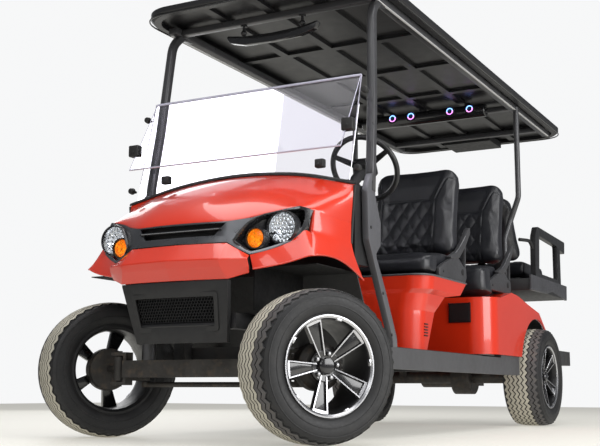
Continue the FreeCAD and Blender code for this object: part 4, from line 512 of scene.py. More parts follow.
def wheelTurn(side, front):
    away = 0 if side > 0 else 180
    if front:
        pin = movedTo(side * cart["kingpinX"], 0, cart["tyreRadius"]) @ turned(away - cart["steerAngle"], "Z")
        return pin @ Matrix.Translation((cart["spindle"] / 1000, 0, 0))
    return movedTo(side * cart["rearTrack"], cart["wheelbase"], cart["tyreRadius"]) @ turned(away, "Z")


def treadRib(index):
    # a ring whose edges zigzag together, drawn through sections of (across, share of the height)
    half = (wheel["ribPitch"] - wheel["ribGap"]) / 2
    section = ((-half, 0), (-half, 0.82), (-half + 1.4, 1), (half - 1.4, 1), (half, 0.82), (half, 0))
    middle = (index - (wheel["ribs"] - 1) / 2) * wheel["ribPitch"]
    rows = []
    steps = 2 * wheel["zigzags"]
    for step in range(steps + 1):
        angle = 2 * math.pi * step / steps
        shift = wheel["zigzag"] * (1 if step % 2 else -1)
        row = []
        for along, up in section:
            x = middle + along + shift
            crown = wheel["crown"] - 9.5 * (abs(x) / 98) ** 3.2
            out = wheel["ribFoot"] + (crown - wheel["ribFoot"]) * up
            row.append((x, out * math.sin(angle), out * math.cos(angle)))
        rows.append(row)
    rib = panel("treadRib", rows, lambda middle: Vector((0, middle.y, middle.z)), place=False)
    coated(rib, "tyreTread" if index < wheel["treadRibs"] else "tyreShoulder")
    rib.data.materials.append(finishes["sealRubber"])
    for face in rib.data.polygons:
        # the sides of the grooves get the dark rubber as painted shade in the grooves
        if abs(face.normal.x) > 0.6:
            face.material_index = 1
    return smooth(rib, 25)


def buildTyre():
    outer = [(95, 179), (99, 186), (99, 194), (104, 200), (110, 214), (112.5, 232), (112.5, 250), (110, 264),
             (104, 274), (96, 278), (84, 281), (56, wheel["grooveRadius"]), (28, 283.5)]
    carcass = lathe("tyreCarcass", outer + [(0, 283.5)] + [(-x, r) for x, r in outer[::-1]], 96)
    pieces = [smooth(coated(carcass, "tyreWall"), 40)]
    # rings pressed into each wall
    for along, out in ((112.2, 226), (111.6, 258)):
        section = [(along - 2, out - 3), (along + 1.2, out - 2), (along + 1.2, out + 2), (along - 2, out + 3)]
        ring = coated(lathe("wallRing", section, 96), "tyreWall")
        pieces += [ring, copied(ring, "wallRingTwin", acrossCart)]
    return join("tyre", pieces + [treadRib(index) for index in range(wheel["ribs"])])


def spokeParts(face):
    # a sunk black web between two rails with machined faces that meet a bright band at the lip
    shapes = [("spokeWeb", [(-12, 36), (12, 36), (31, 174), (-31, 174)], face - 30, face - 9, 3, 2, "alloyBlack")]
    for side in (-1, 1):
        rail = [(side * 8.5, 38), (side * 13.5, 38), (side * 33.5, 172), (side * 28.5, 172)][::side]
        shapes.append(("spokeRail", rail, face - 26, face - 2.5, 1, 1, "alloyBlack"))
        shapes.append(("spokeRail", rail, face - 2.6, face - 1, 0.5, 1, "machined"))
    band = [(-33, 163), (33, 163), (35, 177), (20, 182), (-20, 182), (-35, 177)]
    shapes.append(("spokeBand", band, face - 20, face - 1, 1, 1, "machined"))
    parts = []
    for name, outline, low, high, edge, rounds, coat in shapes:
        part = coated(plate(name, outline, low, high, "x", edge, rounds, place=False), coat)
        for vertex in part.data.vertices:
            # the spoke rises towards the lip
            vertex.co.x += 0.024 * max((math.hypot(vertex.co.y, vertex.co.z) - 0.06) / 0.112, 0) ** 1.2
        parts.append(part)
    return parts


def buildRim():
    face, lip = wheel["faceX"], wheel["lipX"]
    pieces = []
    for name, steps, coat, outline in (
            ("barrel", 96, "satinBlack",
             [(-104, 189.5), (-98, 189.5), (-97, 178), (97, 178), (98, 189.5), (lip, 189.5), (lip, 183), (99, 176),
              (90, 171), (60, 169), (-60, 165), (-92, 171), (-104, 182)]),
            ("brightLip", 96, "machined",
             [(lip - 1, 189.3), (lip + 0.6, 188.5), (lip + 0.6, 183.5), (99.5, 176.5), (98.5, 177)]),
            ("hubDisc", 64, "alloyBlack",
             [(face - 26, 0.5), (face - 26, 60), (face - 6, 62), (face - 2, 56), (face - 6, 34), (face - 6, 0.5)]),
            ("hubCap", 48, "glossBlack",
             [(face - 8, 0.5), (face - 8, 31), (face + 6, 31), (face + 11, 27), (face + 13, 18), (face + 13, 0.5)])):
        pieces.append(coated(lathe(name, outline, steps), coat))
    for index in range(wheel["lugs"]):
        around = turned(360 * (index + 0.5) / wheel["lugs"] + wheel["spokeTurn"], "X")
        out = Matrix.Translation(((face - 6) / 1000, 0, wheel["lugOut"] / 1000))
        for name, start, end, radius, sides, coat in (("lugSeat", 0, 10, 9, 20, "alloyBlack"),
                                                      ("lugNut", 4, 14, 6.5, 6, "plainBolt")):
            part = rod(name, (start, 0, 0), (end, 0, 0), radius, sides=sides, edge=1)
            part.data.transform(Matrix.Translation(-spot(0, 0, 0)))
            part.data.transform(around @ out)
            pieces.append(coated(part, coat))
    for index in range(wheel["spokes"]):
        around = turned(360 * index / wheel["spokes"] + wheel["spokeTurn"], "X")
        for part in spokeParts(face):
            part.data.transform(around)
            pieces.append(part)
        tab = plate("lipTab", [(-13, 171), (13, 171), (11, 182), (-11, 182)], 90, 101, "x", 1.5, place=False)
        tab.data.transform(around @ turned(180 / wheel["spokes"], "X"))
        pieces.append(coated(tab, "machined"))
    drum = [(face - 88, 15), (face - 88, 92), (face - 48, 92), (face - 30, 72), (face - 28, 15)]
    return join("rim", pieces + [coated(lathe("brakeDrum", drum, 64), "axleIron")])


def buildWheels():
    blanks = {"tyre": buildTyre(), "rim": buildRim()}
    for end in ("front", "rear"):
        for label, side in (("left", 1), ("right", -1)):
            for kind, blank in blanks.items():
                own = copied(blank, f"{kind}Dressed_{end}_{label}", wheelTurn(side, end == "front"))
                dress(own, None, f"wheel_{end}_{label}", [f"{kind}_{end}_{label}"])
    for blank in blanks.values():
        bpy.data.objects.remove(blank)


buildWheels()
print("wheels ready")


# the nose's hood, sides and wings are moulded sheets, each through its own lines
nose = {
    "wall": 5,
    "hood": [
        [(0, -190, 860), (110, -186, 859.5), (217, -175, 858), (290, -134, 873), (349, -90, 895), (410, -62, 911),
         (463, -41, 922), (505, 10, 907), (538, 120, 892), (560, 228, 882)],
        [(0, -135, 930), (110, -131, 928), (217, -122, 924), (290, -88, 927), (349, -60, 930), (410, -28, 934),
         (463, 0, 936), (510, 44, 930), (542, 140, 926), (562, 228, 922)],
        [(0, -20, 1010), (110, -17, 1006), (217, -10, 1001), (290, 14, 996), (349, 35, 990), (410, 58, 986),
         (463, 78, 982), (515, 112, 976), (552, 170, 972), (567, 228, 970)],
        [(0, 120, 1083), (110, 122, 1078), (217, 128, 1070), (290, 136, 1060), (349, 145, 1050), (410, 158, 1038),
         (463, 170, 1025), (520, 182, 1012), (560, 205, 1004), (570, 228, 1000)],
        [(0, 253, 1131), (110, 252, 1128), (217, 250, 1118), (290, 247, 1109), (349, 244, 1098), (410, 240, 1085),
         (463, 236, 1070), (520, 232, 1056), (560, 229, 1046), (574, 228, 1042)],
    ],
    "side": [
        [(489, 10, 905), (502, 2, 909), (520, 60, 898), (538, 120, 890), (550, 175, 885), (560, 228, 881)],
        [(484, 0, 840), (500, -8, 840), (520, 50, 838), (541, 112, 836), (552, 170, 834), (560, 222, 832)],
        [(484, -4, 808), (501, -10, 812), (524, 50, 806), (545, 108, 800), (555, 165, 796), (562, 219, 793)],
        [(508, -50, 764), (522, -48, 766), (546, 30, 762), (564, 100, 760), (570, 165, 748), (573, 226, 738)],
        [(533, -96, 712), (545, -92, 714), (562, -10, 722), (574, 80, 717), (578, 190, 692), (580, 298, 652)],
    ],
    "wing": [
        [(322, -184, 717), (391, -133, 740), (456, -88, 772), (492, -55, 832), (500, -8, 809)],
        [(327, -180, 690), (405, -138, 708), (472, -102, 735), (512, -76, 772), (523, -50, 762)],
        [(331, -176, 662), (420, -142, 676), (490, -116, 696), (530, -98, 712), (545, -92, 714)],
    ],
    "flare": [(331, -176, 663), (420, -142, 677), (490, -116, 697), (530, -98, 712), (548, -60, 720), (562, -10, 723),
              (574, 80, 718), (578, 190, 693), (580, 298, 653)],
    "seal": [(574, 229, 1040), (566, 231, 960), (560, 231, 872), (560, 222, 796)],
    "footSection": ((-9, -5), (-8, 5), (-1, 10), (7, 9), (9, -4)),
    # x, y, z, width, depth and height of each square clip of the screen, and the places of its round knobs
    "clips": [(549, 222, 1299, 54, 38, 54), (397, 262, 1155, 42, 32, 38)],
    "knobs": [(570, 357, 1478), (580, 262, 1117)],
}
ahead = (0, -1, 0)


def wholeRow(half):
    return [(-x, y, z) for x, y, z in half[::-1] if x] + list(half)


def between(first, second, share):
    return tuple(a * (1 - share) + b * share for a, b in zip(first, second))


def buildHood():
    # the nose edge rolls under before the sheet starts
    lip = [(x * 0.998, y + 5, z - 5) for x, y, z in nose["hood"][0]]
    rows = [wholeRow(row) for row in [lip] + nose["hood"]]
    pieces = [panel("hoodPanel", rows, (0, -0.6, 0.8), nose["wall"], 2)]
    for key, outside in (("side", (1, -0.2, 0.1)), ("wing", (0.3, -1, 0.1))):
        pieces.append(paired(panel(key + "Panel", nose[key], outside, nose["wall"], 2)))
    # the flare's free edge is rolled
    for side in (-1, 1):
        pieces.append(tube("flareBead", [(side * x, y, z) for x, y, z in nose["flare"]], 3.4, curved=True))
    dress(smooth(join("cowlDressed", pieces), 50), "redGloss", "chassis", ["cowl"])


def buildFootTrim():
    # black rubber down the cowl's rear edge and along its arched top
    dress(paired(tube("cowlSeal", nose["seal"], 6, curved=True)), "sealRubber")
    foot = [(x, y + 4, z + 6) for x, y, z in wholeRow(nose["hood"][-1])]
    rows = [[(x, y + back, z + up) for x, y, z in foot] for back, up in nose["footSection"]]
    strip = panel("footStrip", rows, (0, -0.4, 1), 3, 1)
    clips = []
    for side in (-1, 1):
        for x, y, z, wide, deep, tall in nose["clips"]:
            clip = block("screenClip", (side * x - wide / 2, y - deep / 2, z - tall / 2),
                         (side * x + wide / 2, y + deep / 2, z + tall / 2), 6, 3)
            slot = block("clipSlot", (side * x - wide / 2 - 2, y + 3, z - tall / 2 + 8),
                         (side * x + wide / 2 + 2, y + 5.5, z + tall / 2 + 4), 0)
            clips.append(carve(clip, slot))
            clips.append(rod("clipScrew", (side * x, y - deep / 2 - 3, z - 6), (side * x, y - deep / 2 + 4, z - 6), 7,
                             edge=1.5))
    for side in (-1, 1):
        for x, y, z in nose["knobs"]:
            clips.append(rod("roundKnob", (side * x, y - 30, z), (side * x, y - 8, z), 13, 16, edge=3))
            clips.append(rod("knobStem", (side * x, y - 12, z), (side * x, y + 14, z), 6))
    dress(join("screenFittings", clips + [strip]), "sealRubber", "chassis", ["windshield_clips"])


def buildBadgePlace():
    # a bare raised plate with soft corners in the middle of the nose, which leans back with the hood
    for name, outline, radius, low, high, edge, coat in (
            ("badgePlate", [(-92, 882), (88, 886), (92, 912), (-88, 908)], 7, -182, -168, 2, "chrome"),
            ("badgeFace", [(-85, 887), (82, 890), (86, 907), (-82, 904)], 4, -183.2, -180, 0.8, "gunmetal")):
        piece = plate(name, rounded(outline, radius), low, high, "y", edge)
        for vertex in piece.data.vertices:
            vertex.co.y += (vertex.co.z - 0.862) * 0.86 + 0.004
        dress(piece, coat)


# the grey band between the lamps: its upper and lower line, the lamps' openings and the slot
band = {
    "top": [(0, -191, 859), (110, -187, 858.5), (217, -176, 857), (260, -152, 865), (300, -130, 873), (349, -92, 892),
            (405, -64, 908), (463, -42, 919), (488, -22, 912), (500, 0, 903)],
    "low": [(0, -215, 773), (110, -210, 772), (227, -202, 771), (272, -193, 743), (320, -185, 719), (356, -159, 729),
            (391, -134, 742), (456, -89, 774), (480, -68, 806), (496, -42, 836)],
    "hole": [(254, 776), (268, 800), (284, 824), (300, 846), (324, 866), (352, 881), (405, 899), (459, 909),
             (476, 905), (482, 894), (485, 866), (482, 838), (468, 808), (449, 783), (420, 766), (388, 753),
             (354, 740), (322, 730), (300, 739), (276, 756)],
    "slot": [(-208, 852), (208, 852), (166, 800), (-166, 800)],
    "rimX": 0.4735,
}


def buildBand():
    top, low = band["top"], band["low"]
    rows = [[(x, y + 12, z + 1) for x, y, z in top], top]
    rows += [[between(first, second, share) for first, second in zip(top, low)] for share in (0.25, 0.5, 0.75)]
    rows += [low, [(x, y + 12, z - 2) for x, y, z in low]]
    piece = panel("bandPanel", [wholeRow(row) for row in rows], ahead, 9)
    for side in (1, -1):
        carve(piece, plate("lampHole", [(side * x, z) for x, z in band["hole"]], -320, 120, "y", 0))
    carve(piece, plate("slotHole", rounded(band["slot"], 4, 3), -320, 120, "y", 0))
    smooth(soften(piece, 1.2, 2, 40), 40)
    coated(piece, "gunmetal")
    piece.data.materials.append(finishes["lampBlack"])
    for face in piece.data.polygons:
        # beyond the head lamp only the black rim shows
        face.material_index = 1 if abs(face.center.x) > band["rimX"] else 0
    # a black slat with a bright line across the slot, in front of a dark back
    back = panel("slotBack", [[(-225, -150, 864), (0, -160, 866), (225, -150, 864)],
                              [(-190, -160, 790), (0, -172, 790), (190, -160, 790)]], ahead, 3)
    dress(back, "mattBlack")
    slat = plate("grilleSlat", rounded([(-196, 823), (196, 823), (190, 831), (-190, 831)], 2), -196, -166, "y", 1.5)
    dress(slat, "satinBlack")
    line = plate("brightLine", rounded([(-188, 826), (188, 826), (187, 828.4), (-187, 828.4)], 0.8), -197.5, -195.5,
                 "y", 0.4)
    dress(line, "chrome")
    dress(piece, None, "chassis", ["nose_band"])


# place and radius of each lamp; for each kind the lens, the cells and how many of them stand at a share of its radius
lamp = {
    "depth": 34,
    "units": (("headLamp", 409, -77, 832, 61), ("amberLamp", 324, -134, 786, 39)),
    "headLamp": ("lensClear", "mirrorFace", ((0.0, 1), (0.3, 6), (0.58, 12), (0.84, 20))),
    "amberLamp": ("lensAmber", "lensAmber", ((0.36, 5), (0.7, 10))),
    "pocketMiddle": (378, 818),
    "pocketSteps": ((0.985, 14), (0.93, 46), (0.6, 62), (0.05, 66)),
}


def lampUnit(name, side, x, y, z, radius):
    # a round lamp: dark bezel, reflector cup with small cells and a domed lens
    depth = lamp["depth"]
    lens, cellCoat, rings = lamp[name]
    pieces = []
    for part, coat, outline in (
            ("lampBezel", "lampBlack",
             [(-depth, radius - 4), (4, radius - 2), (8, radius), (8, radius + 4), (2, radius + 6),
              (-depth, radius + 6)]),
            ("lampCup", "chrome",
             [(-depth + 2, 1), (-depth + 4, radius * 0.45), (-16, radius * 0.82), (0, radius - 3),
              (-2, radius - 1.5), (-depth, radius * 0.8), (-depth, 1)]),
            ("lampLens", lens,
             [(9, 0.4), (8, radius * 0.5), (4, radius * 0.85), (0, radius - 2.5), (-3, radius - 2.5),
              (1, radius * 0.85), (5, radius * 0.5), (6, 0.4)])):
        pieces.append(coated(lathe(part, outline, 64), coat))
    section = [(-depth + 3, 0.3), (-depth + 3, radius * 0.11), (-depth + 9, radius * 0.12),
               (-depth + 13, radius * 0.08), (-depth + 14, 0.3)]
    for share, count in rings:
        for index in range(count):
            angle = 2 * math.pi * index / count
            cell = coated(lathe("lampCell", section, 12), cellCoat)
            cell.data.transform(Matrix.Translation((0.012 * share, radius * share * math.cos(angle) / 1000,
                                                    radius * share * math.sin(angle) / 1000)))
            pieces.append(cell)
    unit = join(name, pieces)
    # the lathe's axle points to the front once it is turned
    unit.data.transform(movedTo(side * x, y, z) @ turned(-90, "Z") @ Matrix.Translation((0.012, 0, 0)))
    unit.name += "Left" if side > 0 else "Right"
    return unit


def holeLine(side, y, run, power):
    # the lamp opening's outline on the band, which falls back as it runs outwards
    return [(side * x, y + run * ((x - 254) / (485 - 254)) ** power, z) for x, z in band["hole"]]


def buildLamps():
    units = [lampUnit(name, side, *place) for side in (-1, 1) for name, *place in lamp["units"]]
    # the dark pocket behind each opening, drawn back from its edge
    pockets = []
    for side in (-1, 1):
        rim = holeLine(side, -196, 190, 1.15)
        middleX, middleZ = side * lamp["pocketMiddle"][0], lamp["pocketMiddle"][1]
        rows = [rim + rim[:1]]
        for pull, back in lamp["pocketSteps"]:
            row = [(middleX + (x - middleX) * pull, y * (0.55 + 0.45 * pull) + back - 38 * (1 - pull),
                    middleZ + (z - middleZ) * pull) for x, y, z in rim]
            rows.append(row + row[:1])
        pocket = panel("lampPocket", rows, ahead)
        pockets.append(modify(pocket, "SOLIDIFY", thickness=0.003, offset=-1))
    dress(join("lampPockets", pockets), "lampBlack", "chassis", ["headlamps"])
    for unit in units:
        dress(unit, None)
    # a dark rim round each opening
    rims = []
    for side in (-1, 1):
        line = holeLine(side, -200, 186, 1.1)
        rims.append(tube("lampRim", line + line[:1], 2.6))
    dress(join("lampRims", rims), "lampBlack")


bumper = {
    "lines": [
        [(0, -216, 771), (227, -203, 769), (320, -186, 716)],
        [(0, -290, 700), (230, -266, 698), (330, -217, 700)],
        [(0, -280, 668), (231, -257, 668), (330, -205, 668)],
        [(0, -250, 622), (253, -232, 622), (324, -191, 646)],
    ],
    "seam": [(328, -206, 707), (329, -203, 690), (327, -193, 660)],
}


def buildBumper():
    rows = []
    for line in bumper["lines"]:
        fine = [between(first, second, step / 4) for first, second in zip(line, line[1:]) for step in range(4)]
        rows.append(wholeRow(fine + [line[-1]]))
    piece = panel("bumperFace", rows, ahead, 8)
    dress(smooth(soften(piece, 3.5, 3, 8), 30), "redGloss", "chassis", ["bumper"])
    # the seam where each end block meets the wing
    dress(paired(tube("blockSeam", bumper["seam"], 1.0, curved=True)), "sealRubber")


# the fascia leans from its top to its foot (half width, y, z), is bowed across, and holds a honeycomb
fascia = {
    "top": (253, -232, 622), "foot": (215, -168, 384), "bow": 17,
    "frame": [(-204, 578), (204, 578), (190, 428), (-190, 428)],
    "hole": [(-186, 560), (186, 560), (174, 448), (-174, 448)],
    "cell": 7.6, "cellWall": 0.82, "cellMiddle": 506,
}


def level(z):
    # how far out and forward the plate stands at a height
    share = (fascia["top"][2] - z) / (fascia["top"][2] - fascia["foot"][2])
    return between(fascia["top"][:2], fascia["foot"][:2], share)


def hexagon(size):
    angles = [math.radians(60 * index + 30) for index in range(6)]
    return [(size * math.cos(angle), size * math.sin(angle)) for angle in angles]


def bowed(xs, z, push):
    # a row of the grille's own parts across the plate
    return [(x, level(z)[1] + push - fascia["bow"] * (1 - (x / 240) ** 2), z) for x in xs]


def buildFascia():
    # a leaning plate with a raised frame round a honeycomb, and a paler lip at its foot
    rows = []
    for z in (621, 612, 500, 400, 386, 384):
        half, y = level(z)
        row = [(half * (step / 6), y - fascia["bow"] * (1 - (step / 6) ** 2) + (3 if z in (621, 384) else 0), z)
               for step in range(-6, 7)]
        rows.append([(-half + 1, y + 26, z)] + row + [(half - 1, y + 26, z)])
    piece = panel("fasciaPlate", rows, ahead, 4)
    inner = rounded(fascia["hole"], 8, 4)
    carve(piece, plate("grilleHole", inner, -330, -100, "y", 0))
    smooth(soften(piece, 2, 2, 40), 35)
    rim = plate("grilleFrame", rounded(fascia["frame"], 14, 4), -12, 2, "y", 0, place=False)
    carve(rim, plate("grilleGap", inner, -30, 30, "y", 0, place=False))
    soften(rim, 3, 3, 40)
    for vertex in rim.data.vertices:
        x, out, z = (part * 1000 for part in vertex.co)
        half, y = level(z)
        vertex.co = spot(x, y - fascia["bow"] * (1 - min(abs(x) / half, 1) ** 2) + out * 0.45, z)
    smooth(rim, 35)
    lipRows = [bowed(range(-186, 187, 31), z, push) for z, push in ((468, 20), (462, 4), (450, -4), (446, 2))]
    foot = panel("grilleLip", lipRows, (0, -1, 0.5), 3, 1)
    # honeycomb: one six sided cell ring, copied in staggered rows
    size = fascia["cell"]
    ring = plate("honeyCell", hexagon(size), -4, 4, "y", 0, place=False)
    carve(ring, plate("honeyHole", hexagon(size * fascia["cellWall"]), -8, 8, "y", 0, place=False))
    cells = []
    for row in range(-6, 7):
        for column in range(-14, 15):
            x, z = (column + 0.5 * (row % 2)) * size * math.sqrt(3), fascia["cellMiddle"] + row * size * 1.5
            if abs(x) <= 184 - (560 - z) * 0.1 and 462 < z < 566:
                cells.append(copied(ring, "cell", movedTo(*bowed([x], z, 12)[0])))
    bpy.data.objects.remove(ring)
    comb = join("honeycomb", cells)
    back = panel("honeyBack", [bowed(range(-196, 197, 56), z, 22) for z in (572, 510, 440)], ahead, 3)
    dress(join("fasciaDressed", [piece, rim]), "mattBlack", "chassis", ["front_fascia"])
    for part, coat in ((foot, "satinBlack"), (comb, "mattBlack"), (back, "linerBlack")):
        dress(part, coat)


buildHood()
buildFootTrim()
buildBadgePlace()
buildBand()
buildLamps()
buildBumper()
buildFascia()
print("nose ready")


# seats: two bucket backs and one bench cushion in each row, in stuffed black vinyl
seat = {
    "near": 50, "far": 522, "rearFar": 488, "rise": 490, "rearRise": 410, "thick": 138, "rearThick": 128,
    "taper": 0.2, "topRound": 95, "lowRound": 60, "edge": 40, "backMesh": 19, "benchMesh": 22,
    "cap": 18, "pressure": 3, "frames": 14,
    "innerSeam": 57, "outerSeam": 363, "seamWide": 5, "seamDeep": 5, "seamShare": 0.635,
    "leanShare": 0.86, "leanReach": 52, "hollow": 15,
    "diamondMiddle": 210, "diamondWide": 72, "diamondTall": 116, "diamondDeep": 7,
}
bench = {
    "quiltNear": 92, "quiltFar": 398, "quiltFront": 118, "quiltRear": 34, "quiltDeep": 7, "seamDeep": 5,
    "seamWide": 5.5, "noseDepth": 160, "noseRound": 60, "setBack": 25,
    "diamondMiddle": 245, "diamondStart": 60, "diamondWide": 92, "diamondTall": 130,
}


def eased(share):
    share = min(max(share, 0), 1)
    return share * share * (3 - 2 * share)


def groove(distance, wide):
    return math.exp(-(distance / wide) ** 2)


def extent(piece):
    # the lowest and highest corner of the mesh
    places = [vertex.co for vertex in piece.data.vertices]
    return [Vector([end(place[axis] for place in places) for axis in range(3)]) for end in (min, max)]


def fitted(piece, low, high):
    # the mesh stretched to fill a box
    near, far = extent(piece)
    for vertex in piece.data.vertices:
        for axis in range(3):
            share = (vertex.co[axis] - near[axis]) / (far[axis] - near[axis])
            vertex.co[axis] = low[axis] + share * (high[axis] - low[axis])
    return piece


def stuffed(piece, mesh):
    # the cover swells under the pressure of its stuffing, and no point moves further than the cap
    low, high = extent(piece)
    modify(piece, "REMESH", mode="VOXEL", voxel_size=mesh / 1000)
    start = [vertex.co.copy() for vertex in piece.data.vertices]
    pick(piece)
    step = piece.modifiers.new("Stuffing", "CLOTH")
    step.settings.use_pressure = True
    step.settings.uniform_pressure_force = seat["pressure"]
    step.settings.effector_weights.gravity = 0
    step.settings.quality = 4
    step.point_cache.frame_start = 1
    step.point_cache.frame_end = seat["frames"]
    for number in range(1, seat["frames"] + 1):
        bpy.context.scene.frame_set(number)
    bpy.ops.object.modifier_apply(modifier=step.name)
    bpy.context.scene.frame_set(1)
    for vertex, before in zip(piece.data.vertices, start):
        moved = vertex.co - before
        if moved.length > seat["cap"] / 1000:
            vertex.co = before + moved.normalized() * seat["cap"] / 1000
    modify(piece, "SUBSURF", levels=2, render_levels=2)
    return fitted(piece, low, high)


def diamond(u, v, wide, tall):
    # how high the quilting stands, from 0 on its seams to 1 in the middle of a diamond
    first, second = u / wide + v / tall, u / wide - v / tall
    return math.sqrt(abs(math.sin(math.pi * first))) * math.sqrt(abs(math.sin(math.pi * second)))


def backSeams(across, up, rise):
    # how far the cover is drawn in at a place on a back, both in mm, across from the inner edge
    seamZ = rise * seat["seamShare"]
    leanZ = rise * seat["leanShare"]
    lean = seat["leanReach"] * min(max(up - seamZ, 0) / (leanZ - seamZ), 1)
    outer = seat["outerSeam"] + lean
    inner = seat["innerSeam"] - lean * 0.45
    inside = min(across - inner, outer - across)
    depth = seat["hollow"] * eased(inside / 42) * eased(up / 50) * (1 - 0.55 * eased((up - seamZ) / 90))
    if up < leanZ:
        depth += seat["seamDeep"] * groove(inside, seat["seamWide"])
    elif across > outer or across < inner:
        depth += seat["seamDeep"] * groove(up - leanZ, seat["seamWide"])
    if inside > 0:
        depth += seat["seamDeep"] * groove(up - seamZ, seat["seamWide"])
        if up < seamZ:
            shown = eased((seamZ - up) / 16) * eased(inside / 12)
            puff = diamond(across - seat["diamondMiddle"], up - seamZ, seat["diamondWide"], seat["diamondTall"])
            depth += seat["diamondDeep"] * shown * (0.7 - puff)
    return depth


def bucketBack(name, blank, far, rise, thick):
    # the left seat's back, front face on y = 0 and z up it
    piece = copied(blank, name, Matrix.Identity(4))
    fitted(piece, Vector((seat["near"], 0, 0)) / 1000, Vector((far, thick, rise)) / 1000)
    stretch = (seat["far"] - seat["near"]) / (far - seat["near"])
    normals = [vertex.normal.copy() for vertex in piece.data.vertices]
    for vertex, normal in zip(piece.data.vertices, normals):
        vertex.co.y *= 1 - seat["taper"] * vertex.co.z * 1000 / rise
        facing = eased((-normal.y - 0.15) / 0.5)
        if facing > 0:
            across = (vertex.co.x * 1000 - seat["near"]) * stretch
            vertex.co.y += backSeams(across, vertex.co.z * 1000, rise) * facing / 1000
    return smooth(piece, 180)


def benchCushion(name, half, y, z, nose=None):
    # y[0] is the edge that the sitter's knees bend over, nose is the half width, foot and top of its front part
    run = 1 if y[1] > y[0] else -1
    depth = abs(y[1] - y[0])
    front = nose[2] if nose else z[1] - 6
    start = y[0] + run * bench["setBack"]
    slope = [(start, z[0]), (start, front), (y[1], z[1]), (y[1], z[0])]
    piece = plate(name, rounded(slope, [6, 30, 40, 14], 5), -half, half, "x", 30, 3)
    if nose:
        reach = bench["noseDepth"]
        lifted = front + (z[1] - front) * reach / depth
        end = y[0] + run * reach
        shape = rounded([(y[0], nose[1]), (y[0], front), (end, lifted), (end, nose[1])], [14, 36, 20, 10], 5)
        broad = plate(name + "Nose", shape, -nose[0], nose[0], "x", 0)
        sides = rounded([(-nose[0], y[0]), (nose[0], y[0]), (nose[0], end), (-nose[0], end)],
                        [bench["noseRound"]] * 2 + [20] * 2, 6)
        carve(broad, plate(name + "Mould", sides, nose[1] - 1, z[1] + 20, "z", 0), "INTERSECT")
        soften(broad, 12, 2, 50)
        piece = join(name, [piece, broad])
    else:
        fitted(piece, spot(-half, min(y), z[0]), spot(half, max(y), z[1]))
    stuffed(piece, seat["benchMesh"])
    normals = [vertex.normal.copy() for vertex in piece.data.vertices]
    for vertex, normal in zip(piece.data.vertices, normals):
        facing = eased((normal.z - 0.3) / 0.5)
        if facing <= 0:
            continue
        x = abs(vertex.co.x) * 1000
        into = abs(vertex.co.y * 1000 - cart["frontAxle"] - y[0])
        inside = min(x - bench["quiltNear"], bench["quiltFar"] - x, into - bench["quiltFront"],
                     depth - bench["quiltRear"] - into)
        down = bench["seamDeep"] * groove(inside, bench["seamWide"])
        if inside > 0:
            puff = diamond(x - bench["diamondMiddle"], into - bench["diamondStart"], bench["diamondWide"],
                           bench["diamondTall"])
            down += bench["quiltDeep"] * eased(inside / 16) * (0.8 - puff)
        vertex.co.z -= down * facing / 1000
    return smooth(piece, 180)


# where each row's backs stand and lean, and its cushion: half width, run from the knees back, foot and top,
# and for the broad front part its half width, foot and top
rows = {
    "front": {"back": (1510, 915, -11.77), "cushion": (522, (1085, 1495), (765, 915), (554, 765, 852))},
    "middle": {"back": (2297, 967, -11.77), "cushion": (522, (1872, 2282), (817, 937), (575, 724, 868))},
    "rear": {"back": (2930, 1062, 29.2), "cushion": (488, (3400, 2945), (930, 1040))},
}
backLine = rounded([(seat["near"], 0), (seat["far"], 0), (seat["far"], seat["rise"]), (seat["near"], seat["rise"])],
                   [seat["lowRound"]] * 2 + [seat["topRound"]] * 2, 7)
backBlank = plate("backBlank", backLine, 0, seat["thick"], "y", seat["edge"], 4, place=False)
stuffed(backBlank, seat["backMesh"])
tallBack = bucketBack("tallBack", backBlank, seat["far"], seat["rise"], seat["thick"])
shortBack = bucketBack("shortBack", backBlank, seat["rearFar"], seat["rearRise"], seat["rearThick"])
for rowName, row in rows.items():
    y, z, lean = row["back"]
    place = movedTo(0, y, z) @ turned(lean, "X")
    if rowName == "rear":
        place = place @ turned(180, "Z")
    backs = paired(copied(shortBack if rowName == "rear" else tallBack, rowName + "Backs", place))
    dress(backs, "vinyl", stands=[rowName + "_seat_back"])
for spare in (backBlank, tallBack, shortBack):
    bpy.data.objects.remove(spare)
for rowName, row in rows.items():
    cushion = benchCushion(rowName + "Cushion", *row["cushion"])
    dress(cushion, "vinyl", stands=[rowName + "_seat_cushion"])
print("seats stuffed")


# the canopy's frame: struts of soft square section that bend into the side rails, on flat sleeves down to the sills
roof = {
    "low": 1945.7, "high": 1979.7, "railX": 536, "railHalf": 25, "railStart": 477, "railEnd": 3413,
    "strutX": 576, "lean": 2.7, "leanZ": 1117, "strutHalfWide": 20, "strutHalfThick": 19,
    "rearTube": 17, "stripLow": 1942.2, "sleeveHalf": 14,
    "strut": ((640, 1963), (560, 1956), (488, 1890), (437, 1428), (393, 1164), (380, 1040)),
    "sleeve": [(400, 1112), (364, 1118), (320, 1040), (329, 826), (448, 626), (570, 429), (573, 389.6), (621, 389.6),
               (618, 429), (500, 626), (400, 770), (452, 815), (455, 912), (400, 1020)],
    "sleeveRounds": [20, 20, 40, 30, 60, 60, 2, 2, 60, 60, 20, 20, 40, 60],
    "rearStrut": [(555, 2640, 1962), (555, 2640, 1390), (500, 2650, 1254), (470, 2610, 1130), (470, 2610, 729)],
    "crossBars": (540, 2640, 3260),
    "bolts": ((372, 1076), (352, 880), (470, 612), (560, 440)),
    "lip": [(-608, 289), (608, 289), (608, 3601), (-608, 3601)], "lipZ": 1973,
}


def bend(places, radii, steps=7):
    # an open line through 3D places with its inner corners turned into arcs
    return [Vector(place) for place in rounded(places, [0] + radii + [0], steps)]


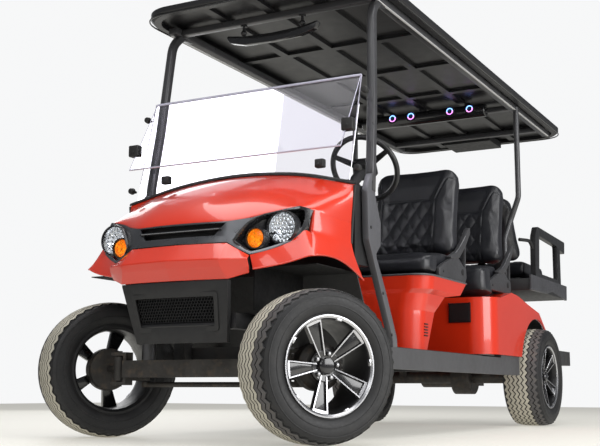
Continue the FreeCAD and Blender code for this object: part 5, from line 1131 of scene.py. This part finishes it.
def sweep(name, line, wide, thick, corner):
    # a bar of soft rectangular section along a line, thick across the cart and wide along it
    section = rounded([(-thick, -wide), (thick, -wide), (thick, wide), (-thick, wide)], corner, 3)
    section.append(section[0])
    rows = []
    for index, here in enumerate(line):
        way = (line[min(index + 1, len(line) - 1)] - line[max(index - 1, 0)]).normalized()
        level = (Vector((1, 0, 0)) - way * way.x).normalized()
        out = way.cross(level)
        rows.append([tuple(here + level * u + out * v) for u, v in section])
    core = [spot(*here) for here in line]
    bar = panel(name, rows, lambda place: place - min(core, key=lambda here: (here - place).length))
    edit(bar)
    # a face closes each open end
    bpy.ops.mesh.select_all(action="DESELECT")
    bpy.ops.mesh.select_mode(type="EDGE")
    bpy.ops.mesh.select_non_manifold()
    bpy.ops.mesh.edge_face_add()
    bpy.ops.mesh.select_mode(type="VERT")
    return outwards(leave(bar))


def buildFrame():
    tilt = math.tan(math.radians(roof["lean"]))
    strutLine = [(roof["strutX"] - max(z - roof["leanZ"], 0) * tilt, y, z) for y, z in roof["strut"]]
    strutLine = bend(strutLine, [60, 150, 300, 200], 8)
    strut = sweep("frontStrut", strutLine, roof["strutHalfWide"], roof["strutHalfThick"], 12)
    sleeve = plate("strutSleeve", rounded(roof["sleeve"], roof["sleeveRounds"], 4),
                   roof["strutX"] - roof["sleeveHalf"], roof["strutX"] + roof["sleeveHalf"], "x", 4)
    rail = block("roofRail", (roof["railX"] - roof["railHalf"], roof["railStart"], roof["low"]),
                 (roof["railX"] + roof["railHalf"], roof["railEnd"], roof["high"]), 6)
    rearStrut = tube("rearStrut", bend(roof["rearStrut"], [120, 90, 90]), roof["rearTube"], 8)
    shoe = rod("strutShoe", (470, 2610, 728.5), (470, 2610, 742), 34, edge=3)
    bars = []
    for part in (strut, sleeve, rail, rearStrut, shoe):
        bars.append(paired(coated(part, "sleeveGrey" if part == sleeve else "strutGrey")))
    for y in roof["crossBars"]:
        bar = block("crossBar", (-roof["railX"], y - 20, roof["low"] + 1),
                    (roof["railX"], y + 20, roof["high"] - 1), 5)
        bars.append(coated(bar, "strutGrey"))
    for y, z in roof["bolts"]:
        bolt = rod("sleeveBolt", (roof["strutX"] + 13, y, z), (roof["strutX"] + 17, y, z), 6.5, sides=20, edge=1)
        bars.append(paired(coated(bolt, "mattBlack")))
    dress(join("canopyFrame", bars), None, stands=["canopy_frame"])
    # pale light strips under the side rails
    strips = []
    for side in (-1, 1):
        x = side * (roof["railX"] + 17)
        strips.append(block("lightStrip", (x - 6, roof["railStart"] + 20, roof["stripLow"]),
                            (x + 6, roof["railEnd"] - 20, roof["low"] + 0.4), 1, 1))
    dress(join("lightStrips", strips), "stripPale")
    # a bead round the canopy's lower edge
    lip = [(x, y, roof["lipZ"]) for x, y in rounded(roof["lip"], 166, 10)]
    dress(tube("canopyBead", lip + lip[:1], 4, 4), "glossBlack")


buildFrame()
print("canopy frame ready")

# edges of the two panes, drawn in a pale finish as a painted highlight where they catch the light: half width, foot,
# top and radius of each line
paneEdges = (
    (543, None, (369, 1553), 5), (538, None, (374, 1558), 4), (538, None, (169, 1199), 4),
    (538, (171, 1201), (372, 1553), 2), (543, (262, 1150), (368, 1550), 2),
)
lips = []
for half, foot, top, radius in paneEdges:
    if foot:
        lips += [tube("paneEdgeHighlight", [(x, *foot), (x, *top)], radius, 4) for x in (half, -half)]
    else:
        lips.append(tube("paneEdgeHighlight", [(-half, *top), (half, *top)], radius, 4))
dress(join("paneEdgeHighlights", lips), "paneEdgeHighlight")

# a bowed crescent of a mirror on two stems with ball joints
mirror = {
    "body": [(-250, 1896), (-243, 1903), (-150, 1888), (0, 1883), (150, 1888), (243, 1903), (250, 1896), (232, 1866),
             (150, 1846), (0, 1840), (-150, 1846), (-232, 1866)],
    "bodyRounds": [3, 3, 60, 60, 60, 3, 3, 30, 60, 60, 60, 30],
    "glass": [(-236, 1893), (0, 1877), (236, 1893), (222, 1869), (0, 1846), (-222, 1869)],
    "glassRounds": [4, 80, 4, 20, 80, 20], "stemX": 160, "stemY": 540,
}


def buildMirror():
    parts = [coated(plate("mirrorBody", rounded(mirror["body"], mirror["bodyRounds"], 4), 526, 554, "y", 8, 3),
                    "glossBlack"),
             coated(plate("mirrorGlass", rounded(mirror["glass"], mirror["glassRounds"], 4), 553, 555, "y", 0),
                    "mirrorFace")]
    y, top = mirror["stemY"], roof["low"] - 0.4
    for x in (-mirror["stemX"], mirror["stemX"]):
        stem = rod("mirrorStem", (x, y, 1880), (x, y, top), 7, sides=20)
        base = rod("mirrorBase", (x, y, roof["low"] - 6), (x, y, top), 17, sides=28, edge=1)
        bpy.ops.mesh.primitive_uv_sphere_add(segments=24, ring_count=14, radius=0.015, location=spot(x, y, 1908))
        ball = smooth(settle(added("mirrorBall")), 60)
        parts += [coated(part, "satinBlack") for part in (stem, base, ball)]
    dress(join("mirrorWhole", parts), None, stands=["mirror"])


# a bar with five speakers, four of them ringed half in blue and half in purple light
sound = {
    "half": 415, "middle": (2480, 1925.7), "radius": 42, "feet": (-300, 0, 300), "cones": (-330, -194, -68, 193, 322),
    "ringRadius": 19, "ringY": 2434, "ringZ": 1932.6, "ringTurn": 0.2,
}


def buildSoundBar():
    bar = rod("soundBody", (-sound["half"], *sound["middle"]), (sound["half"], *sound["middle"]), sound["radius"],
              sides=48, edge=8, rounds=3)
    parts = [coated(bar, "glossBlack")]
    for x in sound["feet"]:
        parts.append(coated(block("soundFoot", (x - 18, 2458, 1955), (x + 18, 2502, 1979.3), 3), "mattBlack"))
    for x in sound["cones"]:
        cone = rod("speakerCone", (x, 2439.5, 1932), (x, 2437, 1932.6), 34, sides=40, edge=1)
        parts.append(coated(cone, "mattBlack"))
        if x == sound["cones"][0]:
            continue
        for start, coat in ((sound["ringTurn"], "ringBlue"), (sound["ringTurn"] + math.pi, "ringPurple")):
            angles = [start + step * math.pi / 9 for step in range(10)]
            arc = [(x + sound["ringRadius"] * math.cos(angle), sound["ringY"],
                    sound["ringZ"] + sound["ringRadius"] * math.sin(angle)) for angle in angles]
            parts.append(coated(tube("glowArc", arc, 2.6, 3), coat))
    dress(join("soundWhole", parts), None, stands=["sound_bar"])


buildMirror()
buildSoundBar()
print("roof fittings ready")

# the steering wheel, its spokes edged in silver and a card holder on the hub
helm = {"hub": (300, 926, 1269), "tilt": 55, "radius": 165, "grip": 13.5, "spokeAngles": (90, 210, 330)}


def buildHelm():
    flat = movedTo(*helm["hub"]) @ turned(-helm["tilt"], "X")
    bpy.ops.mesh.primitive_torus_add(major_radius=helm["radius"] / 1000, minor_radius=helm["grip"] / 1000,
                                     major_segments=72, minor_segments=16, location=(0, 0, 0))
    disc = rounded([(-45, -45), (45, -45), (45, 45), (-45, 45)], 40, 8)
    card = rounded([(-58, -46), (58, -46), (52, 46), (-52, 46)], 9, 4)
    parts = [coated(smooth(settle(added("helmRing")), 60), "satinBlack"),
             coated(plate("hubDisc", disc, -44, 0, "z", 3, place=False), "mattBlack"),
             coated(plate("cardHolder", card, -4, 26, "z", 4, place=False), "mattBlack")]
    for angle in helm["spokeAngles"]:
        shapes = [("helmSpoke", [(25, -17), (158, -12), (158, 12), (25, 17)], -12, -3, 3, "satinBlack")]
        for side in (-1, 1):
            edge = [(50, side * 12), (150, side * 8), (150, side * 11), (50, side * 15.5)]
            shapes.append(("spokeTrim", edge, -4, -1.5, 0.6, "plainBolt"))
        for name, outline, low, high, edge, coat in shapes:
            part = coated(plate(name, outline, low, high, "z", edge, place=False), coat)
            part.data.transform(turned(angle, "Z"))
            parts.append(part)
    for part in parts:
        part.data.transform(flat)
    dress(join("helm", parts), None, "steering_wheel", ["steering_wheel"])


buildHelm()
print("steering wheel ready")

# hip restraints: each has a foot, a blade with a pale moulded rim and a leg, for every row's y and z
restraint = {
    "x": 540, "half": 13, "rows": ((1085, 764.9), (1872, 767.3)),
    # outline of (y, z), its rounds, edge and how far it stands in from the sides
    "shapes": (
        ([(170, 0), (551, 0), (570, 30), (565, 78), (520, 88), (455, 120), (355, 112), (215, 62), (170, 42)],
         [8, 20, 12, 16, 30, 30, 40, 20, 16], 5, 0),
        ([(352, 100), (463, 122), (558, 190), (643, 278), (638, 306), (616, 300), (534, 219), (447, 158), (330, 118)],
         [10, 60, 60, 12, 6, 12, 60, 60, 10], 5, 0),
        ([(554, 60), (566, 60), (573, 214), (561, 212)], [1] * 4, 2, 4),
    ),
    "rim": ((352, 116), (447, 160), (534, 222), (632, 301)),
    "bolts": ((505, 52, 17), (220, 30, 7)),
}


def buildRestraints():
    near, far = restraint["x"] - restraint["half"], restraint["x"] + restraint["half"]
    parts = []
    for base, low in restraint["rows"]:
        for line, radii, edge, inset in restraint["shapes"]:
            moved = rounded([(y + base, z + low) for y, z in line], radii, 4)
            part = plate("restraintPart", moved, near + inset, far - inset, "x", edge, 3)
            parts.append(paired(coated(part, "restraintGrey")))
        rim = tube("restraintRim", [(far - 3, y + base, z + low) for y, z in restraint["rim"]], 2.4, 3, curved=True)
        parts.append(paired(coated(rim, "plainBolt")))
        for y, z, size in restraint["bolts"]:
            bolt = rod("restraintBolt", (far - 1, y + base, z + low), (far + 3, y + base, z + low), size, sides=28,
                       edge=1.5)
            parts.append(paired(coated(bolt, "mattBlack")))
    dress(join("restraints", parts), None, stands=["hip_restraints"])


# the rear seat's grab frames, braces and straps, and the moulded tray between them
arm = {
    "x": 560, "half": 17, "axle": cart["wheelbase"],
    "outer": [(105, 895), (725, 895), (725, 1165), (845, 1148), (857, 1232), (170, 1252), (117, 1180)],
    "outerRounds": [3, 3, 3, 14, 14, 50, 50],
    "hole": [(190, 950), (655, 950), (655, 1180), (215, 1195)],
    "tray": [(-48, 920), (-48, 832), (-55, 825), (44, 824), (306, 828), (434, 852), (605, 836), (807, 822),
             (817, 922)],
    "trayRounds": [6, 6, 2, 60, 80, 60, 60, 10, 8], "trayX": (578, 592),
    "brace": [(505, 2800, 1150), (540, 2850, 1150), (553, 2885, 1146), (556, 2915, 1105)],
    "strap": [(380, 2790, 870), (380, 2790, 980), (380, 2776, 1092), (380, 2664, 1286)],
    "floors": (((-591, 2757, 826), (591, 3602, 900), 8), ((-458, 2970, 899), (458, 3390, 929.7), 4)),
}


def buildArms():
    def placed(line, radii):
        return rounded([(y + arm["axle"], z) for y, z in line], radii, 5)

    grab = plate("grabFrame", placed(arm["outer"], arm["outerRounds"]), arm["x"] - arm["half"],
                 arm["x"] + arm["half"], "x", 0)
    carve(grab, plate("grabGap", placed(arm["hole"], 20), arm["x"] - 40, arm["x"] + 40, "x", 0))
    smooth(soften(grab, 6, 3))
    wall = plate("trayWall", placed(arm["tray"], arm["trayRounds"]), *arm["trayX"], "x", 3)
    brace = tube("grabBrace", arm["brace"], 11, 6, curved=True)
    strap = sweep("rearStrap", bend(arm["strap"], [30, 60], 5), 6, 22, 2)
    parts = [paired(coated(part, coat)) for part, coat in (
        (grab, "satinBlack"), (wall, "trayGrey"), (brace, "satinBlack"), (strap, "mattBlack"))]
    parts += [coated(block("trayFloor", low, high, edge), "mattBlack") for low, high, edge in arm["floors"]]
    dress(join("rearArms", parts), None, stands=["rear_seat_arms"])


buildRestraints()
buildArms()
print("restraints and grab frames ready")

# a bead under the front seat's pod and the cooling slots in its side
pod = {"bead": [(-561, 1063), (561, 1063), (561, 1639), (-561, 1639)], "beadZ": 759, "slots": 5, "slotZ": 468}
line = [(x, y, pod["beadZ"]) for x, y in rounded(pod["bead"], [104, 104, 30, 30], 10)]
dress(join("trimBeads", [tube("podBead", line + line[:1], 5, 5)]), "beadGrey")
slots = []
for index in range(pod["slots"]):
    z = pod["slotZ"] + 14 * index
    x = 509.5 + (z - 396) * 0.032
    slots.append(rod("coolingSlot", (x, 1140, z), (x, 1182, z), 3, sides=12))
dress(paired(join("coolingSlots", slots)), "mattBlack")
print("trim ready")

# the frame's own nodes and their finishes, where no piece above stands in for them
plainNodes = {
    "axleIron": "axle_beam_front knuckle_left knuckle_right tie_rod rear_axle_motor",
    "springSteel": "springs_and_dampers",
    "framePaint": "chassis_rails footboard",
    "floorMat": "floor_board",
    "sillGrey": "sills",
    "batteryGrey": "battery_pack",
    "redGloss": "cowl bumper front_seat_pod rear_body",
    "gunmetal": "nose_band",
    "lampBlack": "headlamps",
    "linerBlack": "wheel_liners",
    "mattBlack": "front_fascia dash steering_column pedals front_seat_frame middle_seat_frame windshield_clips "
                 "mirror sound_bar roof_box",
    "satinBlack": "steering_wheel charge_port charge_port_lid hip_restraints rear_seat_arms",
    "vinyl": "front_seat_cushion middle_seat_cushion rear_seat_cushion front_seat_back middle_seat_back "
             "rear_seat_back",
    "canopyBlack": "canopy",
    "strutGrey": "canopy_frame",
    "screen": "windshield",
}
for coat, names in plainNodes.items():
    for name in names.split():
        coated(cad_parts[name], coat)
print("frame nodes dressed")
